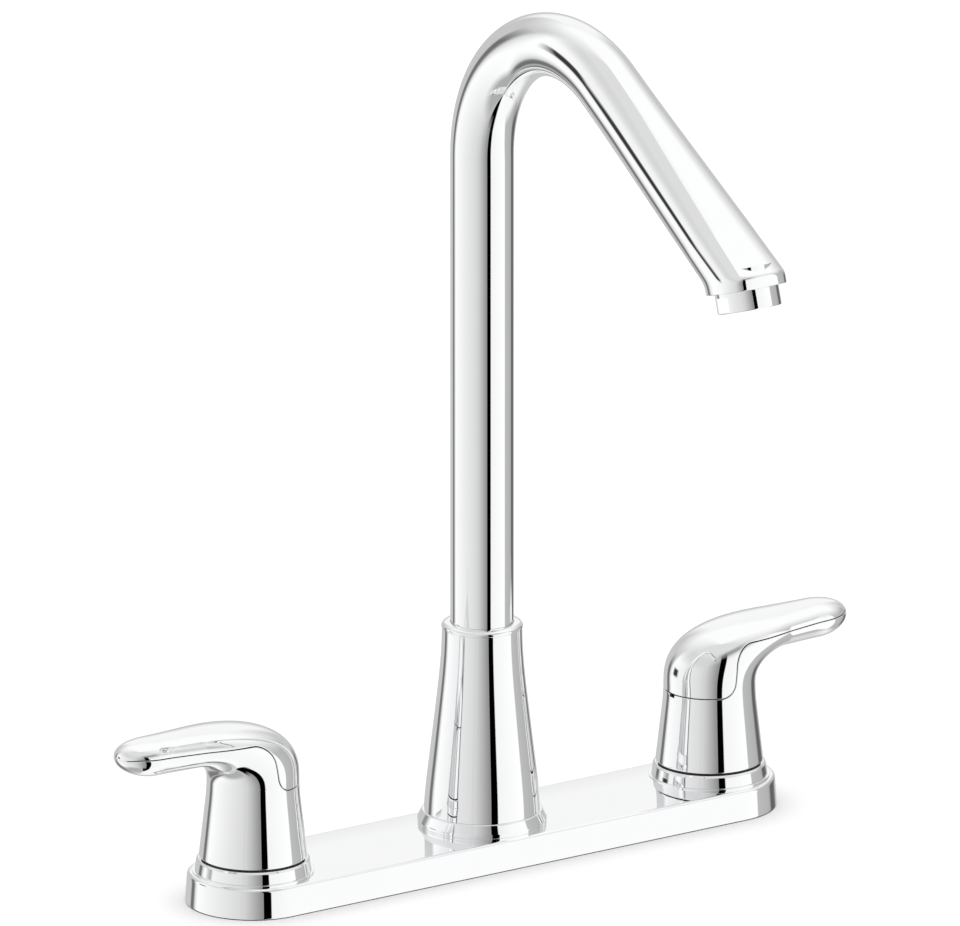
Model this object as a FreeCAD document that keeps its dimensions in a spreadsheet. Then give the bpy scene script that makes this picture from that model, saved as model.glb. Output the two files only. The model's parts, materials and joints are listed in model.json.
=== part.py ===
"""Two handle kitchen faucet for an 8 inch (203.2 mm) deck, as an assembly of separate pieces.

Frame: millimetres, +Z up, origin on the deck under the spout.  The cold handle is at +X, the hot
handle at -X, and the spout points to -Y, towards the person at the sink.
"""
import FreeCAD, Part
import math
import os
import Sketcher
from FreeCAD import Placement, Rotation, Vector

doc = FreeCAD.newDocument("kitchen_faucet")
sheet = doc.addObject("Spreadsheet::Sheet", "sizes")

# ---------------------------------------------------------------------------------------------
# Driving dimensions, in millimetres and degrees
# ---------------------------------------------------------------------------------------------
SIZES = (
    # deck plate
    ("handle_spacing", 203.2, "distance between the two valve centres"),
    ("plate_depth", 49.6, "front to back at the foot; the ends are half circles of this width"),
    ("plate_edge_height", 11.2, "height of the plate's upright edge"),
    ("plate_crown", 0.7, "rise of the plate's top from its edge to its middle"),
    ("plate_draft", 0.8, "inward lean of the plate's edge from foot to top"),
    ("plate_wall", 2.6, "wall of the hollow plate"),
    ("plate_edge_round", 1.6, "rounding of the plate's top edge"),
    ("pad_rise", 0.3, "height of the flat pads above the crowned top"),
    ("pad_margin", 0.9, "width of a pad outside the ring that stands on it"),
    ("gasket_thickness", 2.0, "foam gasket under the plate"),
    ("loose_fit", 0.4, "radial room of a piece that passes through a hole"),
    ("close_fit", 0.05, "radial room of a piece that locates or turns in a bore"),
    # rings under the handles and the spout
    ("ring_radius", 21.4, "foot of the ring under a handle"),
    ("ring_top_radius", 20.7, "rim of the ring under a handle"),
    ("ring_height", 4.6, "height of the ring under a handle"),
    ("ring_bore", 15.6, "hole of the ring under a handle"),
    ("ring_chamfer", 0.7, "bevel of a ring's top edge"),
    ("glide_radius", 18.9, "black glide ring, outside"),
    ("glide_bore", 16.6, "black glide ring, inside"),
    ("glide_depth", 0.8, "how deep the glide ring sits in its ring"),
    ("glide_rise", 0.4, "how far the glide ring stands out of its ring"),
    ("handle_gap", 0.7, "height of the handle's lower edge above the ring"),
    ("foot_radius", 23.7, "foot of the ring under the spout sleeve"),
    ("foot_top_radius", 22.0, "top of the ring under the spout sleeve"),
    ("foot_height", 4.8, "height of the ring under the spout sleeve"),
    ("foot_band", 1.4, "height of the upright band of that ring"),
    ("foot_bore", 17.0, "hole of that ring"),
    # spout sleeve, collar and bearing
    ("sleeve_foot_radius", 21.3, "spout sleeve at its foot"),
    ("sleeve_waist_radius", 16.8, "spout sleeve where its slope changes"),
    ("sleeve_waist_height", 41.6, "height of that place above the sleeve's foot"),
    ("sleeve_top_radius", 14.7, "spout sleeve at its top"),
    ("sleeve_height", 69.4, "height of the spout sleeve"),
    ("sleeve_wall", 1.8, "wall of the spout sleeve"),
    ("collar_radius", 14.9, "bead collar round the tube, outside"),
    ("collar_height", 2.2, "height of the bead collar"),
    ("collar_band", 1.0, "upright part of the bead collar"),
    ("collar_bevel", 0.44, "bevel of its lower edge"),
    ("collar_gap", 0.1, "room between the collar and the turning tube"),
    ("bearing_height", 8.5, "height of the plastic spout bearing"),
    # spout
    ("tube_radius", 11.6, "spout tube, outside"),
    ("tube_wall", 1.2, "spout tube wall"),
    ("tube_lift", 5.6, "tube's lower end above the flange that holds the spout down"),
    ("bend_start", 266.3, "height at which the bend starts"),
    ("bend_radius", 52.7, "bend of the tube's centre line"),
    ("arm_slope", 31.1, "fall of the arm below level, degrees"),
    ("arm_length", 102.6, "straight arm from the bend to over the outlet"),
    ("arm_half_width", 14.4, "half width of the arm at its end"),
    ("arm_half_height", 9.5, "half height of the arm at its end"),
    ("arm_corner", 8.3, "corner radius of the arm's section at its end"),
    ("heel_level", 2.85, "top of the heel above the arm's centre line"),
    ("outlet_drop", 2.7, "outlet centre below the arm's centre line"),
    ("outlet_tilt", 17.2, "forward tilt of the outlet, degrees"),
    ("outlet_half_width", 13.8, "half width of the outlet rim"),
    ("outlet_half_length", 12.5, "half length of the outlet rim"),
    ("outlet_corner", 10.2, "corner radius of the outlet rim"),
    ("socket_depth", 8.0, "depth of the threaded socket for the aerator"),
    # aerator
    ("aerator_radius", 11.7, "visible rim of the aerator"),
    ("aerator_height", 7.4, "visible height of the aerator"),
    ("aerator_thread_radius", 10.9, "threaded end of the aerator"),
    ("aerator_thread_length", 6.0, "length of the threaded end"),
    ("aerator_bore", 9.4, "bore of the aerator housing"),
    ("aerator_flat", 11.15, "distance from the axis to each wrench flat"),
    ("aerator_flat_start", 1.5, "distance of the wrench flats from the spout's head"),
    ("aerator_bevel", 0.5, "bevel round the aerator's mouth"),
    ("aerator_lip", 0.9, "inward lip at the aerator's mouth"),
    ("aerator_core_bore", 6.7, "bore of the mixing core"),
    ("screen_thickness", 0.8, "mesh screen"),
    ("screen_hole_radius", 0.8, "hole of the mesh screen"),
    ("screen_hole_pitch", 2.4, "spacing of the screen's holes"),
    ("washer_thickness", 1.6, "rubber washer above the aerator"),
    ("washer_bore", 7.6, "bore of that washer"),
    # hub and spout stem
    ("flange_base", 2.6, "underside of the brass flanges in the plate"),
    ("hub_flange_radius", 16.4, "flange of the spout hub"),
    ("hub_radius", 12.4, "neck of the spout hub"),
    ("hub_height", 50.0, "top of the spout hub"),
    ("hub_bore", 8.0, "bore that the spout stem turns in"),
    ("hub_floor", 9.9, "floor of that bore"),
    ("hub_passage", 5.0, "water passage under the bore"),
    ("stem_foot", 11.4, "lower end of the spout stem"),
    ("stem_passage", 5.0, "water passage of the spout stem"),
    ("stem_flange_radius", 10.2, "flange that holds the spout down"),
    ("stem_flange_height", 2.0, "thickness of that flange"),
    ("stem_plug_length", 16.0, "length of the stem brazed into the tube"),
    ("stem_seal_level", 19.0, "height of the lower seal"),
    ("stem_seal_pitch", 9.0, "distance between the two seals"),
    ("seal_wire", 0.86, "radius of a spout seal's round section"),
    ("groove_room", 0.26, "room above and below a spout seal"),
    ("thrust_thickness", 0.4, "slip washer between hub and spout"),
    ("spout_nut_radius", 14.6, "nut that holds the spout on the hub"),
    ("spout_nut_engagement", 8.0, "length of its thread"),
    ("spout_nut_lip", 2.0, "thickness of its lip"),
    # valves
    ("shank_radius", 10.3, "threaded shank below the deck"),
    ("shank_length", 58.0, "length of the shank below the deck"),
    ("supply_thread_length", 20.0, "lower end of the shank, for the supply hose"),
    ("relief_width", 1.5, "groove above the supply thread"),
    ("relief_depth", 0.7, "depth of that groove"),
    ("inlet_bore", 4.5, "water passage of the shank"),
    ("valve_flange_radius", 15.0, "flange of the valve body"),
    ("neck_radius", 11.6, "neck of the valve body"),
    ("neck_top", 24.0, "top of the neck"),
    ("cartridge_radius", 9.1, "valve cartridge, outside"),
    ("cartridge_seat", 10.4, "floor of the cartridge pocket"),
    ("cartridge_wall", 1.0, "wall round the ceramic discs"),
    ("cartridge_flange", 10.9, "flange of the cartridge"),
    ("cartridge_flange_height", 1.5, "thickness of that flange"),
    ("cartridge_nose", 7.6, "nose of the cartridge above the flange"),
    ("cartridge_nose_height", 4.6, "height of the nose above the flange"),
    ("seat_seal_height", 1.6, "rubber seal under the discs"),
    ("disc_thickness", 2.0, "each ceramic disc"),
    ("disc_gap", 0.05, "film between the two discs"),
    ("disc_port_radius", 1.7, "port through a disc"),
    ("disc_port_offset", 4.6, "distance of the ports from the axis"),
    ("driver_height", 2.6, "foot of the stem that turns the disc"),
    ("valve_stem_radius", 3.6, "stem of the valve"),
    ("valve_stem_top", 41.5, "top of the stem"),
    ("stem_ring_wire", 0.8, "radius of the stem seal's round section"),
    ("stem_ring_level", 21.6, "height of the stem seal"),
    ("gland_room", 0.16, "room above and below the stem seal"),
    ("bonnet_radius", 13.4, "bonnet nut, outside"),
    ("bonnet_top", 29.0, "top of the bonnet nut"),
    ("bonnet_engagement", 6.4, "length of the bonnet nut's thread"),
    # crossover tubes and fixings
    ("crossover_radius", 3.0, "crossover tube, outside"),
    ("crossover_wall", 0.8, "crossover tube wall"),
    ("crossover_level", 6.0, "height of the crossover tube"),
    ("crossover_insertion", 4.0, "depth of the tube in each flange"),
    ("port_drop_offset", 7.0, "distance of the valve's outlet drilling from its axis"),
    ("port_drop_radius", 1.5, "radius of that drilling"),
    ("deck_allowance", 20.0, "deck thickness for which the nuts are shown"),
    ("mount_washer_radius", 19.0, "washer under the deck"),
    ("mount_washer_thickness", 2.0, "thickness of that washer"),
    ("mount_nut_radius", 15.0, "body of the mounting nut"),
    ("mount_nut_height", 13.0, "height of the mounting nut"),
    ("wing_reach", 23.0, "reach of the mounting nut's wings"),
    ("wing_width", 4.0, "thickness of a wing"),
    ("wing_height", 9.0, "height of a wing"),
    # handle, in its own frame: axis through the valve, lever to +X, lower edge at zero
    ("handle_base_radius", 19.8, "handle at its lower edge"),
    ("handle_neck_radius", 16.9, "handle where the lever starts to bend out"),
    ("elbow_height", 29.7, "height of the elbow's centre"),
    ("elbow_reach", 28.0, "distance of the elbow's centre from the axis"),
    ("elbow_rise", 23.1, "lever top above the elbow's centre"),
    ("elbow_inner_rise", 9.2, "lever underside above the elbow's centre"),
    ("elbow_fullness", 2.6, "exponent of the rounded back of the handle"),
    ("lever_half_width", 12.4, "half width of the lever at the elbow"),
    ("lever_tip_half_width", 10.6, "half width of the lever where its tip starts"),
    ("lever_length", 59.6, "reach of the lever from the axis"),
    ("lever_tip_length", 14.0, "length of the rounded tip"),
    ("lever_tip_level", 46.9, "height of the very tip"),
    ("shell_wall", 1.8, "wall of the hollow cap and lever"),
    ("seam_back_level", 26.7, "height of the cap's lower edge at the back"),
    ("seam_rise_start", -0.6, "place where the seam turns up"),
    ("seam_rise_end", 2.0, "place where the seam turns along the lever"),
    ("seam_lever_level", 46.3, "height of the seam on the lever"),
    ("seam_tip_level", 47.6, "height of the seam at the tip"),
    ("seam_low_round", 6.0, "lower turn of the seam"),
    ("seam_high_round", 9.0, "upper turn of the seam"),
    ("seam_gap", 0.2, "gap between the cap and the handle body"),
    ("pry_width", 3.2, "width of the notch for lifting the cap"),
    ("pry_height", 1.1, "height of that notch"),
    ("pry_depth", 3.8, "reach of that notch in from the handle's lower edge"),
    ("cavity_radius", 15.2, "hollow of the handle over the bonnet nut"),
    ("cavity_height", 14.2, "height of that hollow"),
    ("web_top", 25.8, "top of the web that the screw holds"),
    ("screw_radius", 2.4, "handle screw"),
    ("screw_length", 12.0, "length of the handle screw"),
    ("screw_runout", 1.0, "room below the end of the handle screw"),
    ("screw_head_radius", 4.4, "head of the handle screw"),
    ("screw_head_height", 3.2, "height of that head"),
    ("screw_drive_radius", 1.4, "drive recess of the screw"),
    ("screw_drive_depth", 1.8, "depth of that recess"),
)
for row, (alias, number, meaning) in enumerate(SIZES, start=1):
    sheet.set(f"A{row}", meaning)
    sheet.set(f"B{row}", str(number))
    sheet.setAlias(f"B{row}", alias)
doc.recompute()


def size(expression):
    """The value, as a plain number, of an expression over the sheet's cells."""
    value = sheet.evalExpression(expression)
    return float(value.Value) if hasattr(value, "Value") else float(value)


# Levels and places that several pieces share, as expressions over the sheet
HALF_SPACING = "(sizes.handle_spacing / 2)"
PLATE_TOP = "(sizes.plate_edge_height + sizes.plate_crown)"
CEILING = f"({PLATE_TOP} - sizes.plate_wall)"
SEAT = f"({PLATE_TOP} + sizes.pad_rise)"
RING_TOP = f"({SEAT} + sizes.ring_height)"
GLIDE_FLOOR = f"({RING_TOP} - sizes.glide_depth)"
HANDLE_BASE = f"({RING_TOP} + sizes.handle_gap)"
FOOT_TOP = f"({SEAT} + sizes.foot_height)"
SLEEVE_TOP = f"({FOOT_TOP} + sizes.sleeve_height)"
DISC_FLOOR = "(sizes.cartridge_seat + sizes.seat_seal_height)"
DISC_SPLIT = f"({DISC_FLOOR} + sizes.disc_thickness)"
DRIVER_FLOOR = f"({DISC_SPLIT} + sizes.disc_gap + sizes.disc_thickness)"
DRIVER_TOP = f"({DRIVER_FLOOR} + sizes.driver_height)"
NOSE_TOP = "(sizes.neck_top + sizes.cartridge_flange_height + sizes.cartridge_nose_height)"
CARTRIDGE_BORE = "(sizes.cartridge_radius - sizes.cartridge_wall)"
TUBE_BORE = "(sizes.tube_radius - sizes.tube_wall)"
STEM_RADIUS = "(sizes.hub_bore - sizes.close_fit)"
STEM_FLANGE = "(sizes.hub_height + sizes.thrust_thickness)"
STEM_FLANGE_TOP = f"({STEM_FLANGE} + sizes.stem_flange_height)"
TUBE_FOOT = f"({STEM_FLANGE_TOP} + sizes.tube_lift)"
SIDES = (("hot", -1), ("cold", 1))
parts = []


# ---------------------------------------------------------------------------------------------
# Ways of making a piece
# ---------------------------------------------------------------------------------------------
def keep(piece):
    """Put a finished sub-part on the list of nodes to write."""
    parts.append(piece)
    return piece


def origin_plane(body, role):
    """The origin plane of a body that has the given role."""
    return next(item for item in body.Origin.OriginFeatures if item.Role == role)


def place(piece, along_x="0", height="0"):
    """Bind where a piece stands."""
    piece.setExpression("Placement.Base.x", along_x)
    piece.setExpression("Placement.Base.z", height)


def outline(body, name, role, points):
    """A closed sketch of straight lines whose corners are bound to pairs of expressions."""
    sketch = body.newObject("Sketcher::SketchObject", name)
    sketch.AttachmentSupport = [(origin_plane(body, role), "")]
    sketch.MapMode = "FlatFace"
    corners = [Vector(size(across), size(upward), 0) for across, upward in points]
    for index, corner in enumerate(corners):
        sketch.addGeometry(Part.LineSegment(corner, corners[(index + 1) % len(corners)]))
    for index in range(len(corners)):
        sketch.addConstraint(Sketcher.Constraint("Coincident", index, 2, (index + 1) % len(corners), 1))
    for index, (across, upward) in enumerate(points):
        for kind, expression in (("DistanceX", across), ("DistanceY", upward)):
            number = sketch.addConstraint(
                Sketcher.Constraint(kind, -1, 1, index, 1, size(expression)))
            sketch.setExpression(f"Constraints[{number}]", expression)
    return sketch


def turned(label, profile, along_x="0", frame=None):
    """A body turned about its own axis; profile is a closed outline of (radius, height).

    It stands upright at along_x, or as frame says if one is given.
    """
    body = doc.addObject("PartDesign::Body", label)
    sketch = outline(body, label + "_profile", "XZ_Plane", profile)
    turn = body.newObject("PartDesign::Revolution", label + "_turn")
    turn.Profile = sketch
    turn.ReferenceAxis = (sketch, ["V_Axis"])
    turn.Angle = 360
    if frame is None:
        place(body, along_x)
    else:
        body.Placement = frame
    return body


def ring(label, bore, radius, floor, top, along_x="0", frame=None):
    """A plain turned ring between two radii and two heights."""
    return turned(label, ((bore, floor), (radius, floor), (radius, top), (bore, top)), along_x, frame)


def cylinder(label, radius, length, along_x="0", floor="0", along_y="0"):
    """An upright round bar or drilling."""
    bar = doc.addObject("Part::Cylinder", label)
    bar.setExpression("Radius", radius)
    bar.setExpression("Height", length)
    place(bar, along_x, floor)
    bar.setExpression("Placement.Base.y", along_y)
    return bar


def cross_bar(label, radius, length, along_x, height):
    """A round bar or drilling that lies along X, from its lower X end."""
    bar = doc.addObject("Part::Cylinder", label)
    bar.setExpression("Radius", radius)
    bar.setExpression("Height", length)
    bar.Placement.Rotation = Rotation(Vector(0, 1, 0), 90)
    place(bar, along_x, height)
    return bar


def cut(label, base, tool):
    """Base less tool."""
    result = doc.addObject("Part::Cut", label)
    result.Base = base
    result.Tool = tool
    return result


def fuse(label, *shapes):
    """Several shapes as one."""
    result = doc.addObject("Part::MultiFuse", label)
    result.Shapes = list(shapes)
    result.Refine = True
    return result


def stadium(label, radius, floor, top, lean="0"):
    """A bar with half round ends about the two valve centres; its sides lean in by lean."""
    bar = doc.addObject("Part::Wedge", label + "_bar")
    for name, value in (("Xmin", f"-{HALF_SPACING}"), ("Xmax", HALF_SPACING),
                        ("X2min", f"-{HALF_SPACING}"), ("X2max", HALF_SPACING),
                        ("Ymin", floor), ("Ymax", top),
                        ("Zmin", f"-{radius}"), ("Zmax", radius),
                        ("Z2min", f"{lean} - {radius}"), ("Z2max", f"{radius} - {lean}")):
        bar.setExpression(name, value)
    bar.Placement.Rotation = Rotation(Vector(1, 0, 0), 90)
    ends = []
    for side, sign in SIDES:
        end = doc.addObject("Part::Cone", f"{label}_{side}")
        end.setExpression("Radius1", radius)
        end.setExpression("Radius2", f"{radius} - {lean}")
        end.setExpression("Height", f"{top} - {floor}")
        place(end, f"{sign} * {HALF_SPACING}", floor)
        ends.append(end)
    return fuse(label, bar, *ends)


def shaped(label, shape, position=Vector(), turn=0.0):
    """A sub-part whose free form is worked out in code, then placed."""
    feature = doc.addObject("Part::Feature", label)
    feature.Shape = shape
    feature.Placement = Placement(position, Rotation(Vector(0, 0, 1), turn))
    return feature


# ---------------------------------------------------------------------------------------------
# Deck plate, gasket and rings
# ---------------------------------------------------------------------------------------------
def deck_plate():
    """Hollow chrome plate: crowned top, rounded edge, three pads and three holes."""
    edge = "(sizes.plate_depth / 2)"
    block = stadium("plate_block", edge, "0", PLATE_TOP, "sizes.plate_draft")
    # A crown of radius r over half a depth d rises by c when r = (d * d + c * c) / (2 * c)
    crown_radius = (f"(({edge} * {edge} + sizes.plate_crown * sizes.plate_crown)"
                    " / (2 * sizes.plate_crown))")
    crown = cross_bar("plate_crown_roll", crown_radius, "2 * sizes.handle_spacing",
                      "-sizes.handle_spacing", f"{PLATE_TOP} - {crown_radius}")
    crowned = doc.addObject("Part::Common", "plate_crowned")
    crowned.Base = block
    crowned.Tool = crown
    doc.recompute()
    half_way_up = size("sizes.plate_edge_height") / 2
    rim = [number for number, rim_edge in enumerate(crowned.Shape.Edges, start=1)
           if rim_edge.BoundBox.ZMin > half_way_up]
    rounded = doc.addObject("Part::Fillet", "plate_rounded")
    rounded.Base = crowned
    rounded.Edges = [(number, size("sizes.plate_edge_round"), size("sizes.plate_edge_round"))
                     for number in rim]
    pads = [cylinder(f"plate_pad_{side}", "sizes.ring_radius + sizes.pad_margin",
                     "sizes.plate_wall", f"{sign} * {HALF_SPACING}", f"{SEAT} - sizes.plate_wall")
            for side, sign in SIDES]
    pads.append(cylinder("plate_pad_spout", "sizes.foot_radius", "sizes.plate_wall",
                         "0", f"{SEAT} - sizes.plate_wall"))
    solid = fuse("plate_with_pads", rounded, *pads)
    hollow = stadium("plate_hollow", "(sizes.plate_depth / 2 - sizes.plate_wall)", "0", CEILING)
    holes = [cylinder(f"plate_hole_{side}", "sizes.neck_radius + sizes.loose_fit", SEAT,
                      f"{sign} * {HALF_SPACING}") for side, sign in SIDES]
    holes.append(cylinder("plate_hole_spout", "sizes.hub_radius + sizes.loose_fit", SEAT))
    keep(cut("deck_plate", solid, fuse("plate_openings", hollow, *holes)))


def deck_gasket():
    """Foam gasket that fills the rim's foot, with holes for the shanks."""
    pad = stadium("gasket_pad", "(sizes.plate_depth / 2 - sizes.plate_wall - sizes.close_fit)",
                  "0", "sizes.gasket_thickness")
    holes = [cylinder(f"gasket_hole_{side}", "sizes.shank_radius + sizes.loose_fit",
                      "sizes.gasket_thickness", f"{sign} * {HALF_SPACING}") for side, sign in SIDES]
    keep(cut("deck_gasket", pad, fuse("gasket_holes", *holes)))


def handle_rings(side, place_x):
    """Chrome ring and black glide ring under one handle."""
    pocket = "(sizes.glide_radius + sizes.close_fit)"
    keep(turned(f"escutcheon_ring_{side}", (
        ("sizes.ring_bore", SEAT),
        ("sizes.ring_radius", SEAT),
        ("sizes.ring_top_radius", f"{RING_TOP} - sizes.ring_chamfer"),
        ("sizes.ring_top_radius - sizes.ring_chamfer", RING_TOP),
        (pocket, RING_TOP),
        (pocket, GLIDE_FLOOR),
        ("sizes.ring_bore", GLIDE_FLOOR)), place_x))
    keep(ring(f"glide_ring_{side}", "sizes.glide_bore", "sizes.glide_radius",
              GLIDE_FLOOR, f"{RING_TOP} + sizes.glide_rise", place_x))


# ---------------------------------------------------------------------------------------------
# Valves
# ---------------------------------------------------------------------------------------------
def valve_body(side, sign, place_x):
    """Brass body: inlet shank, flange, neck and cartridge pocket, with its outlet drillings."""
    pocket = "(sizes.cartridge_radius + sizes.close_fit)"
    relief = "(sizes.shank_radius - sizes.relief_depth)"
    relief_floor = "(sizes.supply_thread_length - sizes.shank_length)"
    relief_top = f"({relief_floor} + sizes.relief_width)"
    blank = turned(f"valve_blank_{side}", (
        ("sizes.inlet_bore", "-sizes.shank_length"),
        ("sizes.shank_radius", "-sizes.shank_length"),
        ("sizes.shank_radius", relief_floor),
        (relief, relief_floor),
        (relief, relief_top),
        ("sizes.shank_radius", relief_top),
        ("sizes.shank_radius", "sizes.flange_base"),
        ("sizes.valve_flange_radius", "sizes.flange_base"),
        ("sizes.valve_flange_radius", CEILING),
        ("sizes.neck_radius", CEILING),
        ("sizes.neck_radius", "sizes.neck_top"),
        (pocket, "sizes.neck_top"),
        (pocket, "sizes.cartridge_seat"),
        ("sizes.inlet_bore", "sizes.cartridge_seat")), place_x)
    depth = "(sizes.valve_flange_radius - sizes.port_drop_offset)"
    start = (f"{place_x} - {sign} * sizes.valve_flange_radius" if sign > 0
             else f"{place_x} + sizes.port_drop_offset")
    port = cross_bar(f"valve_port_{side}", "sizes.crossover_radius", depth, start, "sizes.crossover_level")
    drop = cylinder(f"valve_drop_{side}", "sizes.port_drop_radius",
                    "sizes.cartridge_seat - sizes.crossover_level",
                    f"{place_x} - {sign} * sizes.port_drop_offset", "sizes.crossover_level")
    keep(cut(f"valve_body_{side}", blank, fuse(f"valve_drillings_{side}", port, drop)))


def ceramic_disc(label, floor, place_x):
    """Ceramic disc with two ports."""
    disc = cylinder(f"{label}_blank", f"{CARTRIDGE_BORE} - sizes.close_fit", "sizes.disc_thickness",
                    place_x, floor)
    ports = [cylinder(f"{label}_port_{name}", "sizes.disc_port_radius", "sizes.disc_thickness",
                      place_x, floor, f"{sign} * sizes.disc_port_offset") for name, sign in SIDES]
    keep(cut(label, disc, fuse(f"{label}_ports", *ports)))


def cartridge(side, place_x):
    """Cartridge housing, seat seal, two ceramic discs, stem and stem seal."""
    bore = CARTRIDGE_BORE
    flange_top = "(sizes.neck_top + sizes.cartridge_flange_height)"
    gland = "(sizes.valve_stem_radius + 2 * sizes.stem_ring_wire)"
    gland_floor = "(sizes.stem_ring_level - sizes.stem_ring_wire - sizes.gland_room)"
    gland_top = "(sizes.stem_ring_level + sizes.stem_ring_wire + sizes.gland_room)"
    slide = "(sizes.valve_stem_radius + sizes.close_fit)"
    shoulder = f"({DRIVER_TOP} + sizes.close_fit)"
    keep(turned(f"cartridge_housing_{side}", (
        (bore, DISC_FLOOR),
        ("sizes.cartridge_radius", DISC_FLOOR),
        ("sizes.cartridge_radius", "sizes.neck_top"),
        ("sizes.cartridge_flange", "sizes.neck_top"),
        ("sizes.cartridge_flange", flange_top),
        ("sizes.cartridge_nose", flange_top),
        ("sizes.cartridge_nose", NOSE_TOP),
        (slide, NOSE_TOP),
        (slide, gland_top),
        (f"{gland} + sizes.close_fit", gland_top),
        (f"{gland} + sizes.close_fit", gland_floor),
        (slide, gland_floor),
        (slide, shoulder),
        (bore, shoulder)), place_x))
    keep(ring(f"seat_seal_{side}", "sizes.inlet_bore", "sizes.cartridge_radius",
              "sizes.cartridge_seat", DISC_FLOOR, place_x))
    ceramic_disc(f"fixed_disc_{side}", DISC_FLOOR, place_x)
    ceramic_disc(f"moving_disc_{side}", f"({DISC_SPLIT} + sizes.disc_gap)", place_x)
    thread = "(sizes.screw_radius + sizes.close_fit)"
    thread_floor = f"({HANDLE_BASE} + sizes.web_top - sizes.screw_length - sizes.screw_runout)"
    driver = f"({bore} - sizes.close_fit)"
    keep(turned(f"valve_stem_{side}", (
        ("0", DRIVER_FLOOR),
        (driver, DRIVER_FLOOR),
        (driver, DRIVER_TOP),
        ("sizes.valve_stem_radius", DRIVER_TOP),
        ("sizes.valve_stem_radius", "sizes.valve_stem_top"),
        (thread, "sizes.valve_stem_top"),
        (thread, thread_floor),
        ("0", thread_floor)), place_x))
    keep(round_seal(f"stem_seal_{side}", "sizes.valve_stem_radius + sizes.stem_ring_wire",
                    "sizes.stem_ring_wire", "sizes.stem_ring_level", place_x))


def round_seal(label, ring_radius, wire, level, along_x="0"):
    """O-ring of round section."""
    seal = doc.addObject("Part::Torus", label)
    seal.setExpression("Radius1", ring_radius)
    seal.setExpression("Radius2", wire)
    place(seal, along_x, level)
    return seal


def bonnet_nut(side, place_x):
    """Nut that clamps the cartridge: six flats, thread below, lip over the cartridge flange."""
    flange_top = "(sizes.neck_top + sizes.cartridge_flange_height)"
    blank = doc.addObject("Part::Prism", f"bonnet_blank_{side}")
    blank.Polygon = 6
    blank.setExpression("Circumradius", "sizes.bonnet_radius")
    blank.setExpression("Height", "sizes.bonnet_top - sizes.neck_top + sizes.bonnet_engagement")
    place(blank, place_x, "sizes.neck_top - sizes.bonnet_engagement")
    nose = "(sizes.cartridge_nose + sizes.close_fit)"
    hollow = turned(f"bonnet_hollow_{side}", (
        ("0", "sizes.neck_top - sizes.bonnet_engagement"),
        ("sizes.neck_radius", "sizes.neck_top - sizes.bonnet_engagement"),
        ("sizes.neck_radius", flange_top),
        (nose, flange_top),
        (nose, "sizes.bonnet_top"),
        ("0", "sizes.bonnet_top")), place_x)
    keep(cut(f"bonnet_nut_{side}", blank, hollow))


def crossover_tube(side, sign):
    """Tube from a valve's outlet port to the spout hub, inside the plate."""
    near = "(sizes.hub_flange_radius - sizes.crossover_insertion)"
    far = f"({HALF_SPACING} - sizes.valve_flange_radius + sizes.crossover_insertion)"
    start = near if sign > 0 else f"-{far}"
    outside = cross_bar(f"crossover_outside_{side}", "sizes.crossover_radius", f"{far} - {near}",
                        start, "sizes.crossover_level")
    inside = cross_bar(f"crossover_inside_{side}", "sizes.crossover_radius - sizes.crossover_wall",
                       f"{far} - {near}", start, "sizes.crossover_level")
    keep(cut(f"crossover_tube_{side}", outside, inside))


def mounting(side, place_x):
    """Washer and winged nut that clamp one shank under the deck."""
    washer_floor = "(-sizes.deck_allowance - sizes.mount_washer_thickness)"
    nut_floor = f"({washer_floor} - sizes.mount_nut_height)"
    keep(ring(f"mounting_washer_{side}", "sizes.shank_radius + sizes.loose_fit",
              "sizes.mount_washer_radius", washer_floor, "-sizes.deck_allowance", place_x))
    barrel = cylinder(f"nut_barrel_{side}", "sizes.mount_nut_radius", "sizes.mount_nut_height",
                      place_x, nut_floor)
    wings = []
    for name, across, along in (("x", "sizes.wing_reach", "sizes.wing_width / 2"),
                                ("y", "sizes.wing_width / 2", "sizes.wing_reach")):
        wing = doc.addObject("Part::Box", f"nut_wing_{name}_{side}")
        wing.setExpression("Length", f"2 * {across}")
        wing.setExpression("Width", f"2 * {along}")
        wing.setExpression("Height", "sizes.wing_height")
        place(wing, f"{place_x} - {across}", nut_floor)
        wing.setExpression("Placement.Base.y", f"-{along}")
        wings.append(wing)
    bore = cylinder(f"nut_bore_{side}", "sizes.shank_radius", "sizes.mount_nut_height",
                    place_x, nut_floor)
    keep(cut(f"mounting_nut_{side}", fuse(f"nut_solid_{side}", barrel, *wings), bore))


# ---------------------------------------------------------------------------------------------
# Spout support: hub, nut, washer, foot ring, sleeve, bearing and collar
# ---------------------------------------------------------------------------------------------
def spout_hub():
    """Brass hub in the middle of the plate, with two side ports."""
    blank = turned("hub_blank", (
        ("0", "sizes.flange_base"),
        ("sizes.hub_flange_radius", "sizes.flange_base"),
        ("sizes.hub_flange_radius", CEILING),
        ("sizes.hub_radius", CEILING),
        ("sizes.hub_radius", "sizes.hub_height"),
        ("sizes.hub_bore", "sizes.hub_height"),
        ("sizes.hub_bore", "sizes.hub_floor"),
        ("0", "sizes.hub_floor")))
    ports = cross_bar("hub_ports", "sizes.crossover_radius", "2 * sizes.hub_flange_radius",
                      "-sizes.hub_flange_radius", "sizes.crossover_level")
    rise = cylinder("hub_rise", "sizes.hub_passage", "sizes.hub_floor - sizes.crossover_level",
                    "0", "sizes.crossover_level")
    keep(cut("spout_hub", blank, fuse("hub_drillings", ports, rise)))


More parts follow.
